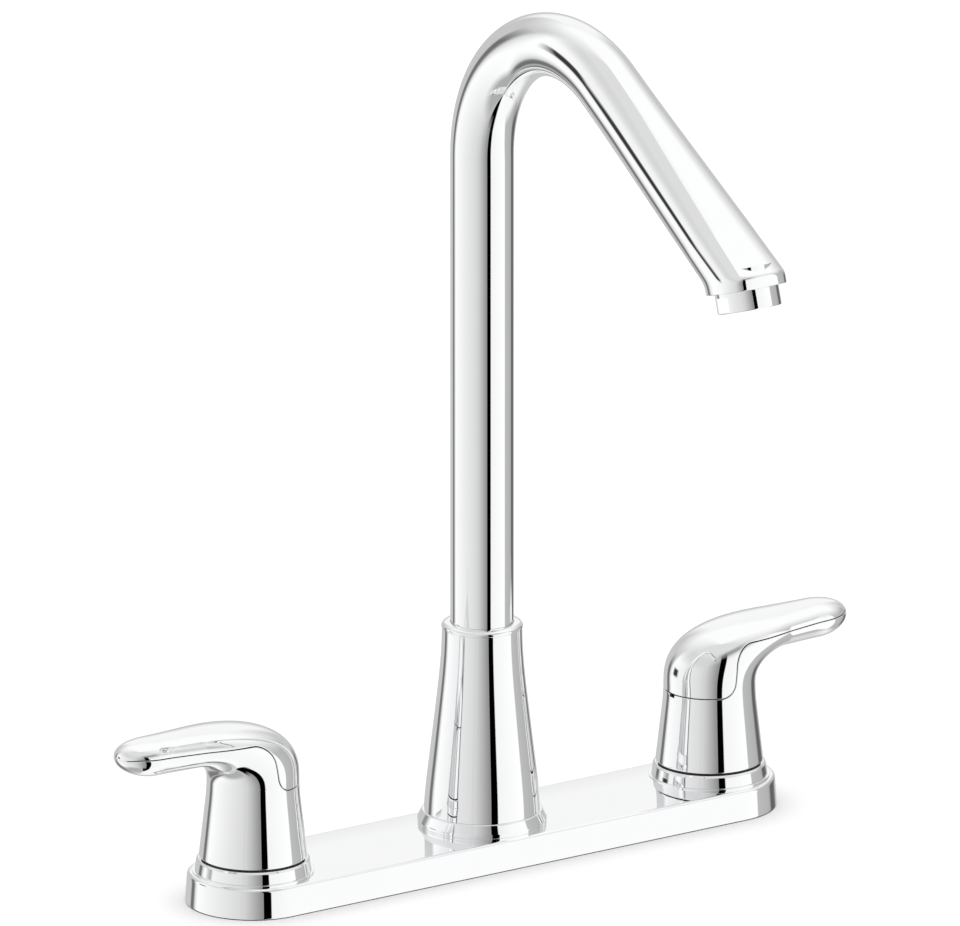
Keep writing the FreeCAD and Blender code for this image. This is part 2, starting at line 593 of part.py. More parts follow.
def spout_nut():
    """Nut that keeps the spout's flange on the hub, and the slip washer under that flange."""
    lip_floor = f"({STEM_FLANGE_TOP} + sizes.close_fit)"
    lip_top = f"({lip_floor} + sizes.spout_nut_lip)"
    chamber = "(sizes.stem_flange_radius + sizes.loose_fit)"
    thread_floor = "(sizes.hub_height - sizes.spout_nut_engagement)"
    keep(turned("spout_nut", (
        ("sizes.hub_radius", thread_floor),
        ("sizes.spout_nut_radius", thread_floor),
        ("sizes.spout_nut_radius", lip_top),
        ("sizes.hub_bore + sizes.loose_fit", lip_top),
        ("sizes.hub_bore + sizes.loose_fit", lip_floor),
        (chamber, lip_floor),
        (chamber, "sizes.hub_height"),
        ("sizes.hub_radius", "sizes.hub_height"))))
    keep(ring("slip_washer", "sizes.hub_bore + sizes.loose_fit", "sizes.stem_flange_radius",
              "sizes.hub_height", STEM_FLANGE))


def spout_foot_ring():
    """Chrome foot ring: upright band, then a slope to the sleeve."""
    keep(turned("spout_base_ring", (
        ("sizes.foot_bore", SEAT),
        ("sizes.foot_radius", SEAT),
        ("sizes.foot_radius", f"{SEAT} + sizes.foot_band"),
        ("sizes.foot_top_radius", FOOT_TOP),
        ("sizes.foot_bore", FOOT_TOP))))


def spout_sleeve():
    """Tapered chrome sleeve: two slopes outside, one wall inside, a bore for the bearing."""
    waist = f"({FOOT_TOP} + sizes.sleeve_waist_height)"
    bearing_floor = f"({SLEEVE_TOP} - sizes.bearing_height)"
    bearing_bore = "(sizes.sleeve_top_radius - sizes.sleeve_wall)"
    keep(turned("spout_sleeve", (
        ("sizes.sleeve_foot_radius - sizes.sleeve_wall", FOOT_TOP),
        ("sizes.sleeve_foot_radius", FOOT_TOP),
        ("sizes.sleeve_waist_radius", waist),
        ("sizes.sleeve_top_radius", SLEEVE_TOP),
        (bearing_bore, SLEEVE_TOP),
        (bearing_bore, bearing_floor),
        ("sizes.sleeve_waist_radius - sizes.sleeve_wall", waist))))
    keep(ring("spout_bearing", "sizes.tube_radius + sizes.close_fit", bearing_bore,
              bearing_floor, SLEEVE_TOP))


def spout_collar():
    """Bead collar on the sleeve, round the tube."""
    top = f"({SLEEVE_TOP} + sizes.collar_height)"
    bore = "(sizes.tube_radius + sizes.collar_gap)"
    shoulder = f"({SLEEVE_TOP} + sizes.collar_band)"
    # The two points between shoulder and top follow the bead's round back
    keep(turned("spout_collar", (
        (bore, SLEEVE_TOP),
        ("sizes.collar_radius - sizes.collar_bevel", SLEEVE_TOP),
        ("sizes.collar_radius", f"{SLEEVE_TOP} + sizes.collar_bevel"),
        ("sizes.collar_radius", shoulder),
        (f"0.2 * {bore} + 0.8 * sizes.collar_radius", f"0.4 * {shoulder} + 0.6 * {top}"),
        (f"0.8 * {bore} + 0.2 * sizes.collar_radius", top),
        (bore, top))))


# ---------------------------------------------------------------------------------------------
# Spout: tube, stem, seals and aerator
# ---------------------------------------------------------------------------------------------
def rounded_rectangle(half_width, half_height, corner, frame, as_circle=None):
    """Closed wire of four sides and four corners in frame's XY plane.

    With as_circle set to a radius, the eight pieces are arcs of that circle instead, cut at the
    same directions, so that a loft joins each arc to its side or corner.
    """
    inner_x = half_width - corner
    inner_y = half_height - corner
    turns = [(1, 1, 0), (-1, 1, 90), (-1, -1, 180), (1, -1, 270)]
    points = []
    for sign_x, sign_y, start in turns:
        for angle in (start, start + 45, start + 90):
            along = math.radians(angle)
            points.append(Vector(sign_x * inner_x + corner * math.cos(along),
                                 sign_y * inner_y + corner * math.sin(along), 0))
    if as_circle:
        points = [point.normalize() * as_circle for point in points]
    edges = []
    for index in range(0, len(points), 3):
        first, middle, last = points[index:index + 3]
        after = points[(index + 3) % len(points)]
        edges.append(Part.Arc(first, middle, last).toShape())
        if as_circle:
            halfway = (last + after).normalize() * as_circle
            edges.append(Part.Arc(last, halfway, after).toShape())
        else:
            edges.append(Part.makeLine(last, after))
    wire = Part.Wire(edges)
    wire.Placement = frame
    return wire


def bend_end():
    """Centre of the tube where the bend ends, and the arm's directions: along it and up from it."""
    slope = math.radians(size("sizes.arm_slope"))
    turn = math.pi / 2 + slope
    radius = size("sizes.bend_radius")
    centre = Vector(0, -radius * (1 - math.cos(turn)), size("sizes.bend_start") + radius * math.sin(turn))
    along = Vector(0, -math.cos(slope), -math.sin(slope))
    up = Vector(0, -math.sin(slope), math.cos(slope))
    return centre, along, up


def outlet_frame():
    """Placement of the outlet: origin at the rim's centre, Z along the water's way out."""
    centre, along, up = bend_end()
    middle = centre + along * size("sizes.arm_length") - up * size("sizes.outlet_drop")
    tilt = size("sizes.outlet_tilt")
    return Placement(middle, Rotation(Vector(1, 0, 0), 180 - tilt))


def tube_run(radius, floor):
    """Upright tube and bend, as one solid bar of the given radius."""
    bend_start = size("sizes.bend_start")
    upright = Part.makeCylinder(radius, bend_start - floor, Vector(0, 0, floor))
    disc = Part.Face(Part.Wire(Part.makeCircle(radius, Vector(0, 0, bend_start))))
    centre = Vector(0, -size("sizes.bend_radius"), bend_start)
    bend = disc.revolve(centre, Vector(1, 0, 0), 90 + size("sizes.arm_slope"))
    return upright, bend


def arm_bar(inset, length):
    """Arm from the bend's round end to its flattened end, all round inset by a wall."""
    centre, along, up = bend_end()
    side = Vector(1, 0, 0)
    full = size("sizes.arm_length")
    share = length / full
    start_radius = size("sizes.tube_radius")
    half_width = start_radius + (size("sizes.arm_half_width") - start_radius) * share - inset
    half_height = start_radius + (size("sizes.arm_half_height") - start_radius) * share - inset
    corner = start_radius + (size("sizes.arm_corner") - start_radius) * share - inset
    corner = min(corner, half_height - size("sizes.close_fit"))
    turn = Rotation(side, up, along.negative(), "XYZ")
    near = rounded_rectangle(half_width, half_height, corner, Placement(centre, turn),
                             start_radius - inset)
    far = rounded_rectangle(half_width, half_height, corner, Placement(centre + along * length, turn))
    return Part.makeLoft([near, far], True, True)


def spout_tube():
    """Gooseneck: upright tube, bend, widening arm and outlet head, with its water passage."""
    wall = size("sizes.tube_wall")
    radius = size("sizes.tube_radius")
    floor = size(TUBE_FOOT)
    centre, along, up = bend_end()
    frame = outlet_frame()
    half_length = size("sizes.outlet_half_length")
    full_length = 2 * half_length
    arm = arm_bar(0, size("sizes.arm_length") + full_length)
    rim = rounded_rectangle(size("sizes.outlet_half_width"), half_length, size("sizes.outlet_corner"),
                            Placement())
    column = Part.Face(rim).extrude(Vector(0, 0, -2 * full_length))
    column.Placement = frame
    # In front of the outlet's middle the head is no larger than the rim
    reach = size("sizes.arm_length")
    front = Part.makeBox(2 * reach, reach, reach, Vector(-reach, 0, -2 * full_length))
    below = Part.makeBox(2 * reach, 2 * reach, reach, Vector(-reach, -reach, 0))
    front.Placement = frame
    below.Placement = frame
    arm = arm.cut(front.cut(column)).cut(below)
    # The heel: the part of the rim's column that lies under the arm's upper side
    lid = Part.makeBox(2 * reach, 2 * reach, reach, Vector(-reach, -reach, 0))
    lid.Placement = Placement(centre + along * size("sizes.arm_length") + up * size("sizes.heel_level"),
                              Rotation(Vector(1, 0, 0), up, along.negative(), "XYZ").multiply(
                                  Rotation(Vector(1, 0, 0), -90)))
    heel = column.cut(lid)
    upright, bend = tube_run(radius, floor)
    outside = upright.fuse([bend, arm, heel])
    upright_bore, bend_bore = tube_run(radius - wall, floor)
    arm_bore = arm_bar(wall, size("sizes.arm_length") - half_length)
    socket_radius = size("sizes.aerator_thread_radius + sizes.close_fit")
    depth = size("sizes.socket_depth")
    socket = Part.makeCylinder(socket_radius, depth, Vector(0, 0, -depth))
    throat = Part.makeCylinder(size("sizes.aerator_bore - sizes.aerator_lip"), half_length,
                               Vector(0, 0, -half_length))
    socket.Placement = frame
    throat.Placement = frame
    inside = upright_bore.fuse([bend_bore, arm_bore, socket, throat])
    keep(shaped("spout_tube", outside.cut(inside)))


def spout_stem():
    """Brass stem brazed into the tube: flange, seal grooves and passage; with its two seals."""
    groove = f"({STEM_RADIUS} - 2 * sizes.seal_wire)"
    half_groove = "(sizes.seal_wire + sizes.groove_room)"
    low = "sizes.stem_seal_level"
    high = "(sizes.stem_seal_level + sizes.stem_seal_pitch)"
    profile = [("sizes.stem_passage", "sizes.stem_foot"), (STEM_RADIUS, "sizes.stem_foot")]
    for level in (low, high):
        profile += [(STEM_RADIUS, f"{level} - {half_groove}"), (groove, f"{level} - {half_groove}"),
                    (groove, f"{level} + {half_groove}"), (STEM_RADIUS, f"{level} + {half_groove}")]
    profile += [
        (STEM_RADIUS, STEM_FLANGE),
        ("sizes.stem_flange_radius", STEM_FLANGE),
        ("sizes.stem_flange_radius", STEM_FLANGE_TOP),
        (STEM_RADIUS, STEM_FLANGE_TOP),
        (STEM_RADIUS, TUBE_FOOT),
        (TUBE_BORE, TUBE_FOOT),
        (TUBE_BORE, f"{TUBE_FOOT} + sizes.stem_plug_length"),
        ("sizes.stem_passage", f"{TUBE_FOOT} + sizes.stem_plug_length")]
    keep(turned("spout_stem", profile))
    ring_radius = f"{STEM_RADIUS} - sizes.seal_wire"
    seals = [round_seal(f"spout_seal_{name}", ring_radius, "sizes.seal_wire", level)
             for name, level in (("low", low), ("high", high))]
    pair = doc.addObject("Part::Compound", "spout_seals")
    pair.Links = seals
    keep(pair)


def aerator():
    """Aerator: housing with wrench flats and lip, mixing core, mesh screen and rubber washer."""
    frame = outlet_frame()
    thread = "-sizes.aerator_thread_length"
    mouth = "sizes.aerator_height"
    lip_floor = "(sizes.aerator_height - sizes.screen_thickness)"
    lip = "(sizes.aerator_bore - sizes.aerator_lip)"
    blank = turned("aerator_blank", (
        ("sizes.aerator_bore", thread),
        ("sizes.aerator_thread_radius", thread),
        ("sizes.aerator_thread_radius", "0"),
        ("sizes.aerator_radius", "0"),
        ("sizes.aerator_radius", f"{mouth} - sizes.aerator_bevel"),
        ("sizes.aerator_radius - sizes.aerator_bevel", mouth),
        (lip, mouth),
        (lip, lip_floor),
        ("sizes.aerator_bore", lip_floor)))
    flats = []
    for name, sign in SIDES:
        flat = doc.addObject("Part::Box", f"aerator_flat_{name}")
        flat.setExpression("Length", "sizes.aerator_radius")
        flat.setExpression("Width", "2 * sizes.aerator_radius")
        flat.setExpression("Height", "sizes.aerator_height - sizes.aerator_flat_start")
        start = "sizes.aerator_flat" if sign > 0 else "-sizes.aerator_flat - sizes.aerator_radius"
        place(flat, start, "sizes.aerator_flat_start")
        flat.setExpression("Placement.Base.y", "-sizes.aerator_radius")
        flats.append(flat)
    housing = cut("aerator_housing", blank, fuse("aerator_flats", *flats))
    housing.Placement = frame
    keep(housing)

    sliding = "(sizes.aerator_bore - sizes.close_fit)"
    screen_floor = f"({lip_floor} - sizes.screen_thickness)"
    keep(ring("aerator_core", "sizes.aerator_core_bore", sliding, thread, screen_floor, frame=frame))
    screen_radius = size(sliding)
    thickness = size("sizes.screen_thickness")
    level = size(screen_floor)
    screen = Part.makeCylinder(screen_radius, thickness, Vector(0, 0, level))
    pitch = size("sizes.screen_hole_pitch")
    hole_radius = size("sizes.screen_hole_radius")
    reach = screen_radius - 2 * hole_radius
    steps = int(reach // pitch)
    holes = [Part.makeCylinder(hole_radius, thickness, Vector(column * pitch, line * pitch, level))
             for column in range(-steps, steps + 1) for line in range(-steps, steps + 1)
             if math.hypot(column, line) * pitch <= reach]
    mesh = shaped("aerator_screen", screen.cut(holes))
    mesh.Placement = frame
    keep(mesh)
    keep(ring("aerator_washer", "sizes.washer_bore", "sizes.aerator_thread_radius",
              f"{thread} - sizes.washer_thickness", thread, frame=frame))


# ---------------------------------------------------------------------------------------------
# Handle: one outer form, split by the seam into a body and a snap-on cap
# ---------------------------------------------------------------------------------------------
def ellipse_wire(centre, half_in_plane, half_width, direction):
    """Ellipse across the handle: half_width along Y, half_in_plane along direction."""
    if half_width > half_in_plane:
        curve = Part.Ellipse(Vector(), half_width, half_in_plane)
        turn = Rotation(Vector(0, 1, 0), direction, Vector(0, 1, 0).cross(direction), "XYZ")
    else:
        curve = Part.Ellipse(Vector(), half_in_plane, half_width)
        turn = Rotation(direction, Vector(0, 1, 0), direction.cross(Vector(0, 1, 0)), "XYZ")
    wire = Part.Wire(curve.toShape())
    wire.Placement = Placement(centre, turn)
    return wire


def handle_form(inset):
    """The handle's outer form less a wall: upright cone, elbow and lever with a rounded tip.

    The elbow's sections turn about the elbow's centre.  Their outer ends lie on a superellipse
    from the back to the lever's top, their inner ends on an ellipse from the neck to its underside.
    """
    base = size("sizes.handle_base_radius") - inset
    neck = size("sizes.handle_neck_radius") - inset
    height = size("sizes.elbow_height")
    reach = size("sizes.elbow_reach")
    fullness = size("sizes.elbow_fullness")
    back = reach + neck
    top = size("sizes.elbow_rise") - inset
    front = reach - neck
    under = size("sizes.elbow_inner_rise") + inset
    wide = size("sizes.lever_half_width") - inset
    wires = []
    skirt_steps = 5
    for step in range(skirt_steps):
        radius = base + (neck - base) * step / skirt_steps
        wires.append(ellipse_wire(Vector(0, 0, height * step / skirt_steps), radius, radius,
                                  Vector(-1, 0, 0)))
    elbow_steps = 6
    for step in range(elbow_steps + 1):
        turn = math.pi / 2 * step / elbow_steps
        cosine = max(math.cos(turn), 0.0)
        sine = math.sin(turn)
        outer = ((cosine / back) ** fullness + (sine / top) ** fullness) ** (-1 / fullness)
        inner = ((cosine / front) ** 2 + (sine / under) ** 2) ** -0.5
        direction = Vector(-cosine, 0, sine)
        centre = Vector(reach, 0, height) + direction * ((outer + inner) / 2)
        half_width = neck + (wide - neck) * step / elbow_steps
        wires.append(ellipse_wire(centre, (outer - inner) / 2, half_width, direction))
    length = size("sizes.lever_length") - inset
    tip_start = length - size("sizes.lever_tip_length")
    tip_wide = size("sizes.lever_tip_half_width") - inset
    middle = height + (top + under) / 2
    half_height = (top - under) / 2
    drop = size("sizes.lever_tip_level") - middle
    for share in (0.5, 1.0):
        along = reach + (tip_start - reach) * share
        wires.append(ellipse_wire(Vector(along, 0, middle), half_height,
                                  wide + (tip_wide - wide) * share, Vector(0, 0, 1)))
    for turn in (22.5, 45.0, 65.0, 80.0):
        part_way = math.sin(math.radians(turn))
        shrink = math.cos(math.radians(turn))
        along = tip_start + (length - tip_start) * part_way
        wires.append(ellipse_wire(Vector(along, 0, middle + drop * part_way), half_height * shrink,
                                  tip_wide * shrink, Vector(0, 0, 1)))
    return Part.makeLoft(wires, True, False)


def rounded_path(points, radii):
    """Edges through points, each inner corner rounded by its radius."""
    edges = []
    start = points[0]
    for index in range(1, len(points) - 1):
        before, corner, after = points[index - 1], points[index], points[index + 1]
        back = (before - corner).normalize()
        ahead = (after - corner).normalize()
        half = back.getAngle(ahead) / 2
        setback = radii[index - 1] / math.tan(half)
        middle_way = (back + ahead).normalize()
        centre = corner + middle_way * (radii[index - 1] / math.sin(half))
        first = corner + back * setback
        last = corner + ahead * setback
        edges.append(Part.makeLine(start, first))
        edges.append(Part.Arc(first, centre - middle_way * radii[index - 1], last).toShape())
        start = last
    edges.append(Part.makeLine(start, points[-1]))
    return edges


def above_seam(lift):
    """Everything above the seam, raised by lift, as one block."""
    far = 2 * size("sizes.lever_length")
    tall = 2 * size("sizes.elbow_height") + size("sizes.elbow_rise")
    back = size("sizes.seam_back_level") + lift
    lever = size("sizes.seam_lever_level") + lift
    tip = size("sizes.seam_tip_level") + lift
    length = size("sizes.lever_length")
    slope = (tip - lever) / (length - size("sizes.seam_rise_end"))
    points = [Vector(-far, -far, back),
              Vector(size("sizes.seam_rise_start") - lift, -far, back),
              Vector(size("sizes.seam_rise_end") - lift, -far, lever),
              Vector(far, -far, lever + slope * (far - size("sizes.seam_rise_end")))]
    edges = rounded_path(points, (size("sizes.seam_low_round"), size("sizes.seam_high_round")))
    edges.append(Part.makeLine(points[3], Vector(far, -far, tall)))
    edges.append(Part.makeLine(Vector(far, -far, tall), Vector(-far, -far, tall)))
    edges.append(Part.makeLine(Vector(-far, -far, tall), points[0]))
    return Part.Face(Part.Wire(edges)).extrude(Vector(0, 2 * far, 0))


def handle(side, sign, stem_level):
    """One handle: body with lever, snap-on cap and the screw under it."""
    outside = handle_form(0)
    inside = handle_form(size("sizes.shell_wall"))
    web_top = size("sizes.web_top")
    far = 2 * size("sizes.lever_length")
    over_web = Part.makeBox(2 * far, 2 * far, far, Vector(-far, -far, web_top))
    hollow = inside.common(over_web)
    seam = size("sizes.seam_gap")
    cap = outside.common(above_seam(seam)).cut(inside)
    body = outside.cut(above_seam(0)).cut(hollow)
    cavity = Part.makeCylinder(size("sizes.cavity_radius"), size("sizes.cavity_height"))
    socket_top = size(f"{stem_level} + sizes.close_fit")
    socket = Part.makeCylinder(size("sizes.valve_stem_radius + sizes.close_fit"), socket_top)
    screw_hole = Part.makeCylinder(size("sizes.screw_radius + sizes.close_fit"), web_top)
    pry_corner = Vector(-size("sizes.handle_base_radius"), -size("sizes.pry_width") / 2,
                        size("sizes.seam_back_level") - size("sizes.pry_height"))
    pry = Part.makeBox(size("sizes.pry_depth"), size("sizes.pry_width"), size("sizes.pry_height"),
                       pry_corner)
    body = body.cut([cavity, socket, screw_hole, pry])
    position = Vector(sign * size(HALF_SPACING), 0, size(HANDLE_BASE))
    turn = 0 if sign > 0 else 180
    keep(shaped(f"handle_body_{side}", body, position, turn))
    keep(shaped(f"handle_cap_{side}", cap, position, turn))


def handle_screw(side, place_x):
    """Pan head screw from the handle's web into the stem."""
    seat = f"({HANDLE_BASE} + sizes.web_top)"
    head_top = f"({seat} + sizes.screw_head_height)"
    drive_floor = f"({head_top} - sizes.screw_drive_depth)"
    keep(turned(f"handle_screw_{side}", (
        ("0", f"{seat} - sizes.screw_length"),
        ("sizes.screw_radius", f"{seat} - sizes.screw_length"),
        ("sizes.screw_radius", seat),
        ("sizes.screw_head_radius", seat),
        ("sizes.screw_head_radius", head_top),
        ("sizes.screw_drive_radius", head_top),
        ("sizes.screw_drive_radius", drive_floor),
        ("0", drive_floor)), place_x))


# ---------------------------------------------------------------------------------------------
# Assembly
# ---------------------------------------------------------------------------------------------
deck_plate()
deck_gasket()
spout_hub()
spout_nut()
spout_foot_ring()
spout_sleeve()
spout_collar()
spout_stem()
spout_tube()
aerator()
for side_name, side_sign in SIDES:
    valve_x = f"{side_sign} * {HALF_SPACING}"
    handle_rings(side_name, valve_x)
    valve_body(side_name, side_sign, valve_x)
    cartridge(side_name, valve_x)
    bonnet_nut(side_name, valve_x)
    crossover_tube(side_name, side_sign)
    mounting(side_name, valve_x)
    handle(side_name, side_sign, f"sizes.valve_stem_top - {HANDLE_BASE}")
    handle_screw(side_name, valve_x)
doc.recompute()

faults = [item.Label for item in doc.Objects if {"Invalid", "Error"} & set(item.State)]
faults += [piece.Label for piece in parts if piece.Shape.isNull() or not piece.Shape.isValid()]
if faults:
    raise RuntimeError("these objects did not build: " + ", ".join(faults))

os.makedirs("parts", exist_ok=True)
for piece in parts:
    piece.Shape.exportStep(f"parts/{piece.Label}.step")
    print(piece.Label, len(piece.Shape.Solids), round(piece.Shape.Volume, 1))
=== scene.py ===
"""Looks of a two handle kitchen faucet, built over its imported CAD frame.

Every new surface is worked out with numpy in millimetres, in the frame's own axes: +Z up, the deck
at zero, the spout towards -Y, the hot handle at -X and the cold handle at +X.
"""
import json
import logging
import math
from dataclasses import dataclass, field
from enum import Enum

import bmesh
import bpy
import numpy as np
from mathutils import Matrix, Vector


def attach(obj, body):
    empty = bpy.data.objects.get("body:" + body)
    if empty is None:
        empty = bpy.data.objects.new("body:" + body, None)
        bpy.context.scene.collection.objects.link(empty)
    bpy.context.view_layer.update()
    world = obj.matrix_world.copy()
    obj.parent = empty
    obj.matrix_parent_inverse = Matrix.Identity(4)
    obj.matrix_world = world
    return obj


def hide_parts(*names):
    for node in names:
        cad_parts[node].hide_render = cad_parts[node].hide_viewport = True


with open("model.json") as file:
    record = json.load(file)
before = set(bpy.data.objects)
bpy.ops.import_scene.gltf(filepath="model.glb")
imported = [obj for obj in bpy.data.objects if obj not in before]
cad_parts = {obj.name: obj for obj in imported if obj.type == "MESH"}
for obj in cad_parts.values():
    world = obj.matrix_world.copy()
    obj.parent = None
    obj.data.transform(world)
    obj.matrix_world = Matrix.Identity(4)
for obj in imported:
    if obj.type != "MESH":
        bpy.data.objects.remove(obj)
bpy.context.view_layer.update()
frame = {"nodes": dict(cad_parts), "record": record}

MM = 0.001
WELD = 1e-6
UP = np.array([0.0, 0.0, 1.0])
SIDEWAYS = np.array([1.0, 0.0, 0.0])
LEVEL = np.array([1.0, 1.0, 0.0])
SUPPORT = 0.12
log = logging.getLogger("faucet")


class Side(Enum):
    """The two handles, named for the water that they turn on."""

    HOT = "hot"
    COLD = "cold"

    @property
    def sign(self) -> int:
        """Where the handle stands: -1 for the hot side at -X, 1 for the cold side at +X."""
        return 1 if self is Side.COLD else -1


# ---------------------------------------------------------------------------------------------
# Curves and surfaces
# ---------------------------------------------------------------------------------------------
def eased(share: np.ndarray, onset: float) -> np.ndarray:
    """Rises from 0 to 1 with share: a parabola up to onset, then the straight line that goes on from it.

    Args:
        share: how far along, from 0 to 1.
        onset: the share at which the parabola ends.

    Returns:
        The risen part, from 0 to 1.
    """
    share = np.asarray(share, dtype=float)
    curve = np.where(share < onset, share**2 / (2 * onset), share - onset / 2)
    return curve / (1 - onset / 2)


def smooth_curve(knots: tuple, values: tuple, places: np.ndarray) -> np.ndarray:
    """Natural cubic spline: cubic pieces through the knots whose slope and bending agree where they meet.

    Args:
        knots: rising places of the known values.
        values: the value at each knot.
        places: where the curve is read.

    Returns:
        The value at each place.
    """
    knots, values = np.array(knots, dtype=float), np.array(values, dtype=float)
    step = np.diff(knots)
    inner = np.arange(1, len(knots) - 1)
    matrix = np.eye(len(knots))
    matrix[inner, inner - 1] = step[:-1]
    matrix[inner, inner] = 2 * (step[:-1] + step[1:])
    matrix[inner, inner + 1] = step[1:]
    load = np.zeros(len(knots))
    load[inner] = 6 * np.diff(np.diff(values) / step)
    bending = np.linalg.solve(matrix, load)
    span = np.clip(np.searchsorted(knots, places) - 1, 0, len(knots) - 2)
    done, rest, width = places - knots[span], knots[span + 1] - places, step[span]
    ends = (values[span] * rest + values[span + 1] * done) / width
    sag = bending[span] * (rest**3 / width - rest * width)
    sag = sag + bending[span + 1] * (done**3 / width - done * width)
    return ends + sag / 6


def rounded(corners: list, closed: bool = True, steps: int = 6) -> np.ndarray:
    """Flat outline whose corners are arcs, with two points near the ends of every straight side.

    At a corner whose sides open by twice h, an arc of radius r starts r / tan(h) along each side
    and its centre lies r / sin(h) along the line that halves the corner.

    Args:
        corners: (across, upward, rounding) of each corner in order.
        closed: True if the last corner is joined to the first.
        steps: straight pieces per arc.

    Returns:
        Points as an array of (across, upward).
    """
    table = np.array(corners, dtype=float)
    point, radius = table[:, :2], np.maximum(table[:, 2:3], 1e-5)
    before, after = np.roll(point, 1, axis=0), np.roll(point, -1, axis=0)
    if not closed:
        before[0], after[-1] = 2 * point[0] - point[1], 2 * point[-1] - point[-2]
    back = (before - point) / np.linalg.norm(before - point, axis=1, keepdims=True)
    ahead = (after - point) / np.linalg.norm(after - point, axis=1, keepdims=True)
    half = np.arccos(np.clip(np.sum(back * ahead, axis=1, keepdims=True), -1, 1)) / 2
    middle = back + ahead
    length = np.linalg.norm(middle, axis=1, keepdims=True)
    straight = length < 1e-6
    middle = np.where(straight, 0, middle / np.where(straight, 1, length))
    centre = point + middle * radius / np.sin(half)
    first = point + back * radius / np.tan(half) - centre
    last = point + ahead * radius / np.tan(half) - centre
    share = np.linspace(0, 1, steps + 1)[None, :, None]
    turn = np.maximum(np.pi - 2 * half, 1e-4)[:, :, None]
    arc = np.sin((1 - share) * turn) * first[:, None] + np.sin(share * turn) * last[:, None]
    arc = centre[:, None] + arc / np.sin(turn)
    arc = np.where(straight[:, :, None], point[:, None] + 0 * arc, arc)
    start, end = arc[:, -1], np.roll(arc[:, 0], -1, axis=0)
    side = end - start
    reach = np.linalg.norm(side, axis=1, keepdims=True)
    near = np.minimum(SUPPORT, reach / 4) / np.maximum(reach, 1e-9)
    supports = np.stack([start + side * near, end - side * near], axis=1)
    path = np.concatenate([arc, supports], axis=1)
    if not closed:
        return np.concatenate([path[:-1].reshape(-1, 2), path[-1, :1]])
    return path.reshape(-1, 2)


def evenly(path: np.ndarray, spacing: float) -> np.ndarray:
    """The same path with points at even distances along it.

    Args:
        path: points as rows.
        spacing: wanted distance between points.

    Returns:
        The new points as rows.
    """
    keep = np.concatenate([[True], np.linalg.norm(np.diff(path, axis=0), axis=1) > 1e-9])
    path = path[keep]
    run = np.concatenate([[0], np.cumsum(np.linalg.norm(np.diff(path, axis=0), axis=1))])
    at = np.linspace(0, run[-1], int(run[-1] / spacing) + 2)
    return np.stack([np.interp(at, run, path[:, axis]) for axis in range(path.shape[1])], axis=1)


def around(columns: int) -> np.ndarray:
    """Even turns round a full circle, without the last one."""
    return np.linspace(0, 2 * np.pi, columns, endpoint=False)


def turned(profile: np.ndarray, columns: int = 128) -> np.ndarray:
    """Rings of a profile turned about its axis: radius times cosine and sine of the turn, height upwards.

    Args:
        profile: points as (radius, height).
        columns: points per ring.

    Returns:
        Rings as an array of rows, columns and three coordinates.
    """
    turn = around(columns)[None, :]
    radius, height = profile[:, :1], profile[:, 1:]
    return np.stack([radius * np.cos(turn), radius * np.sin(turn), height + 0 * turn], axis=-1)


@dataclass(frozen=True)
class Axes:
    """A place and three directions in the frame, in millimetres."""

    origin: tuple
    x: tuple = (1.0, 0.0, 0.0)
    y: tuple = (0.0, 1.0, 0.0)
    z: tuple = (0.0, 0.0, 1.0)

    def carry(self, points: np.ndarray) -> np.ndarray:
        """Points given along these directions, put into the frame."""
        return points @ np.array([self.x, self.y, self.z]) + np.array(self.origin)


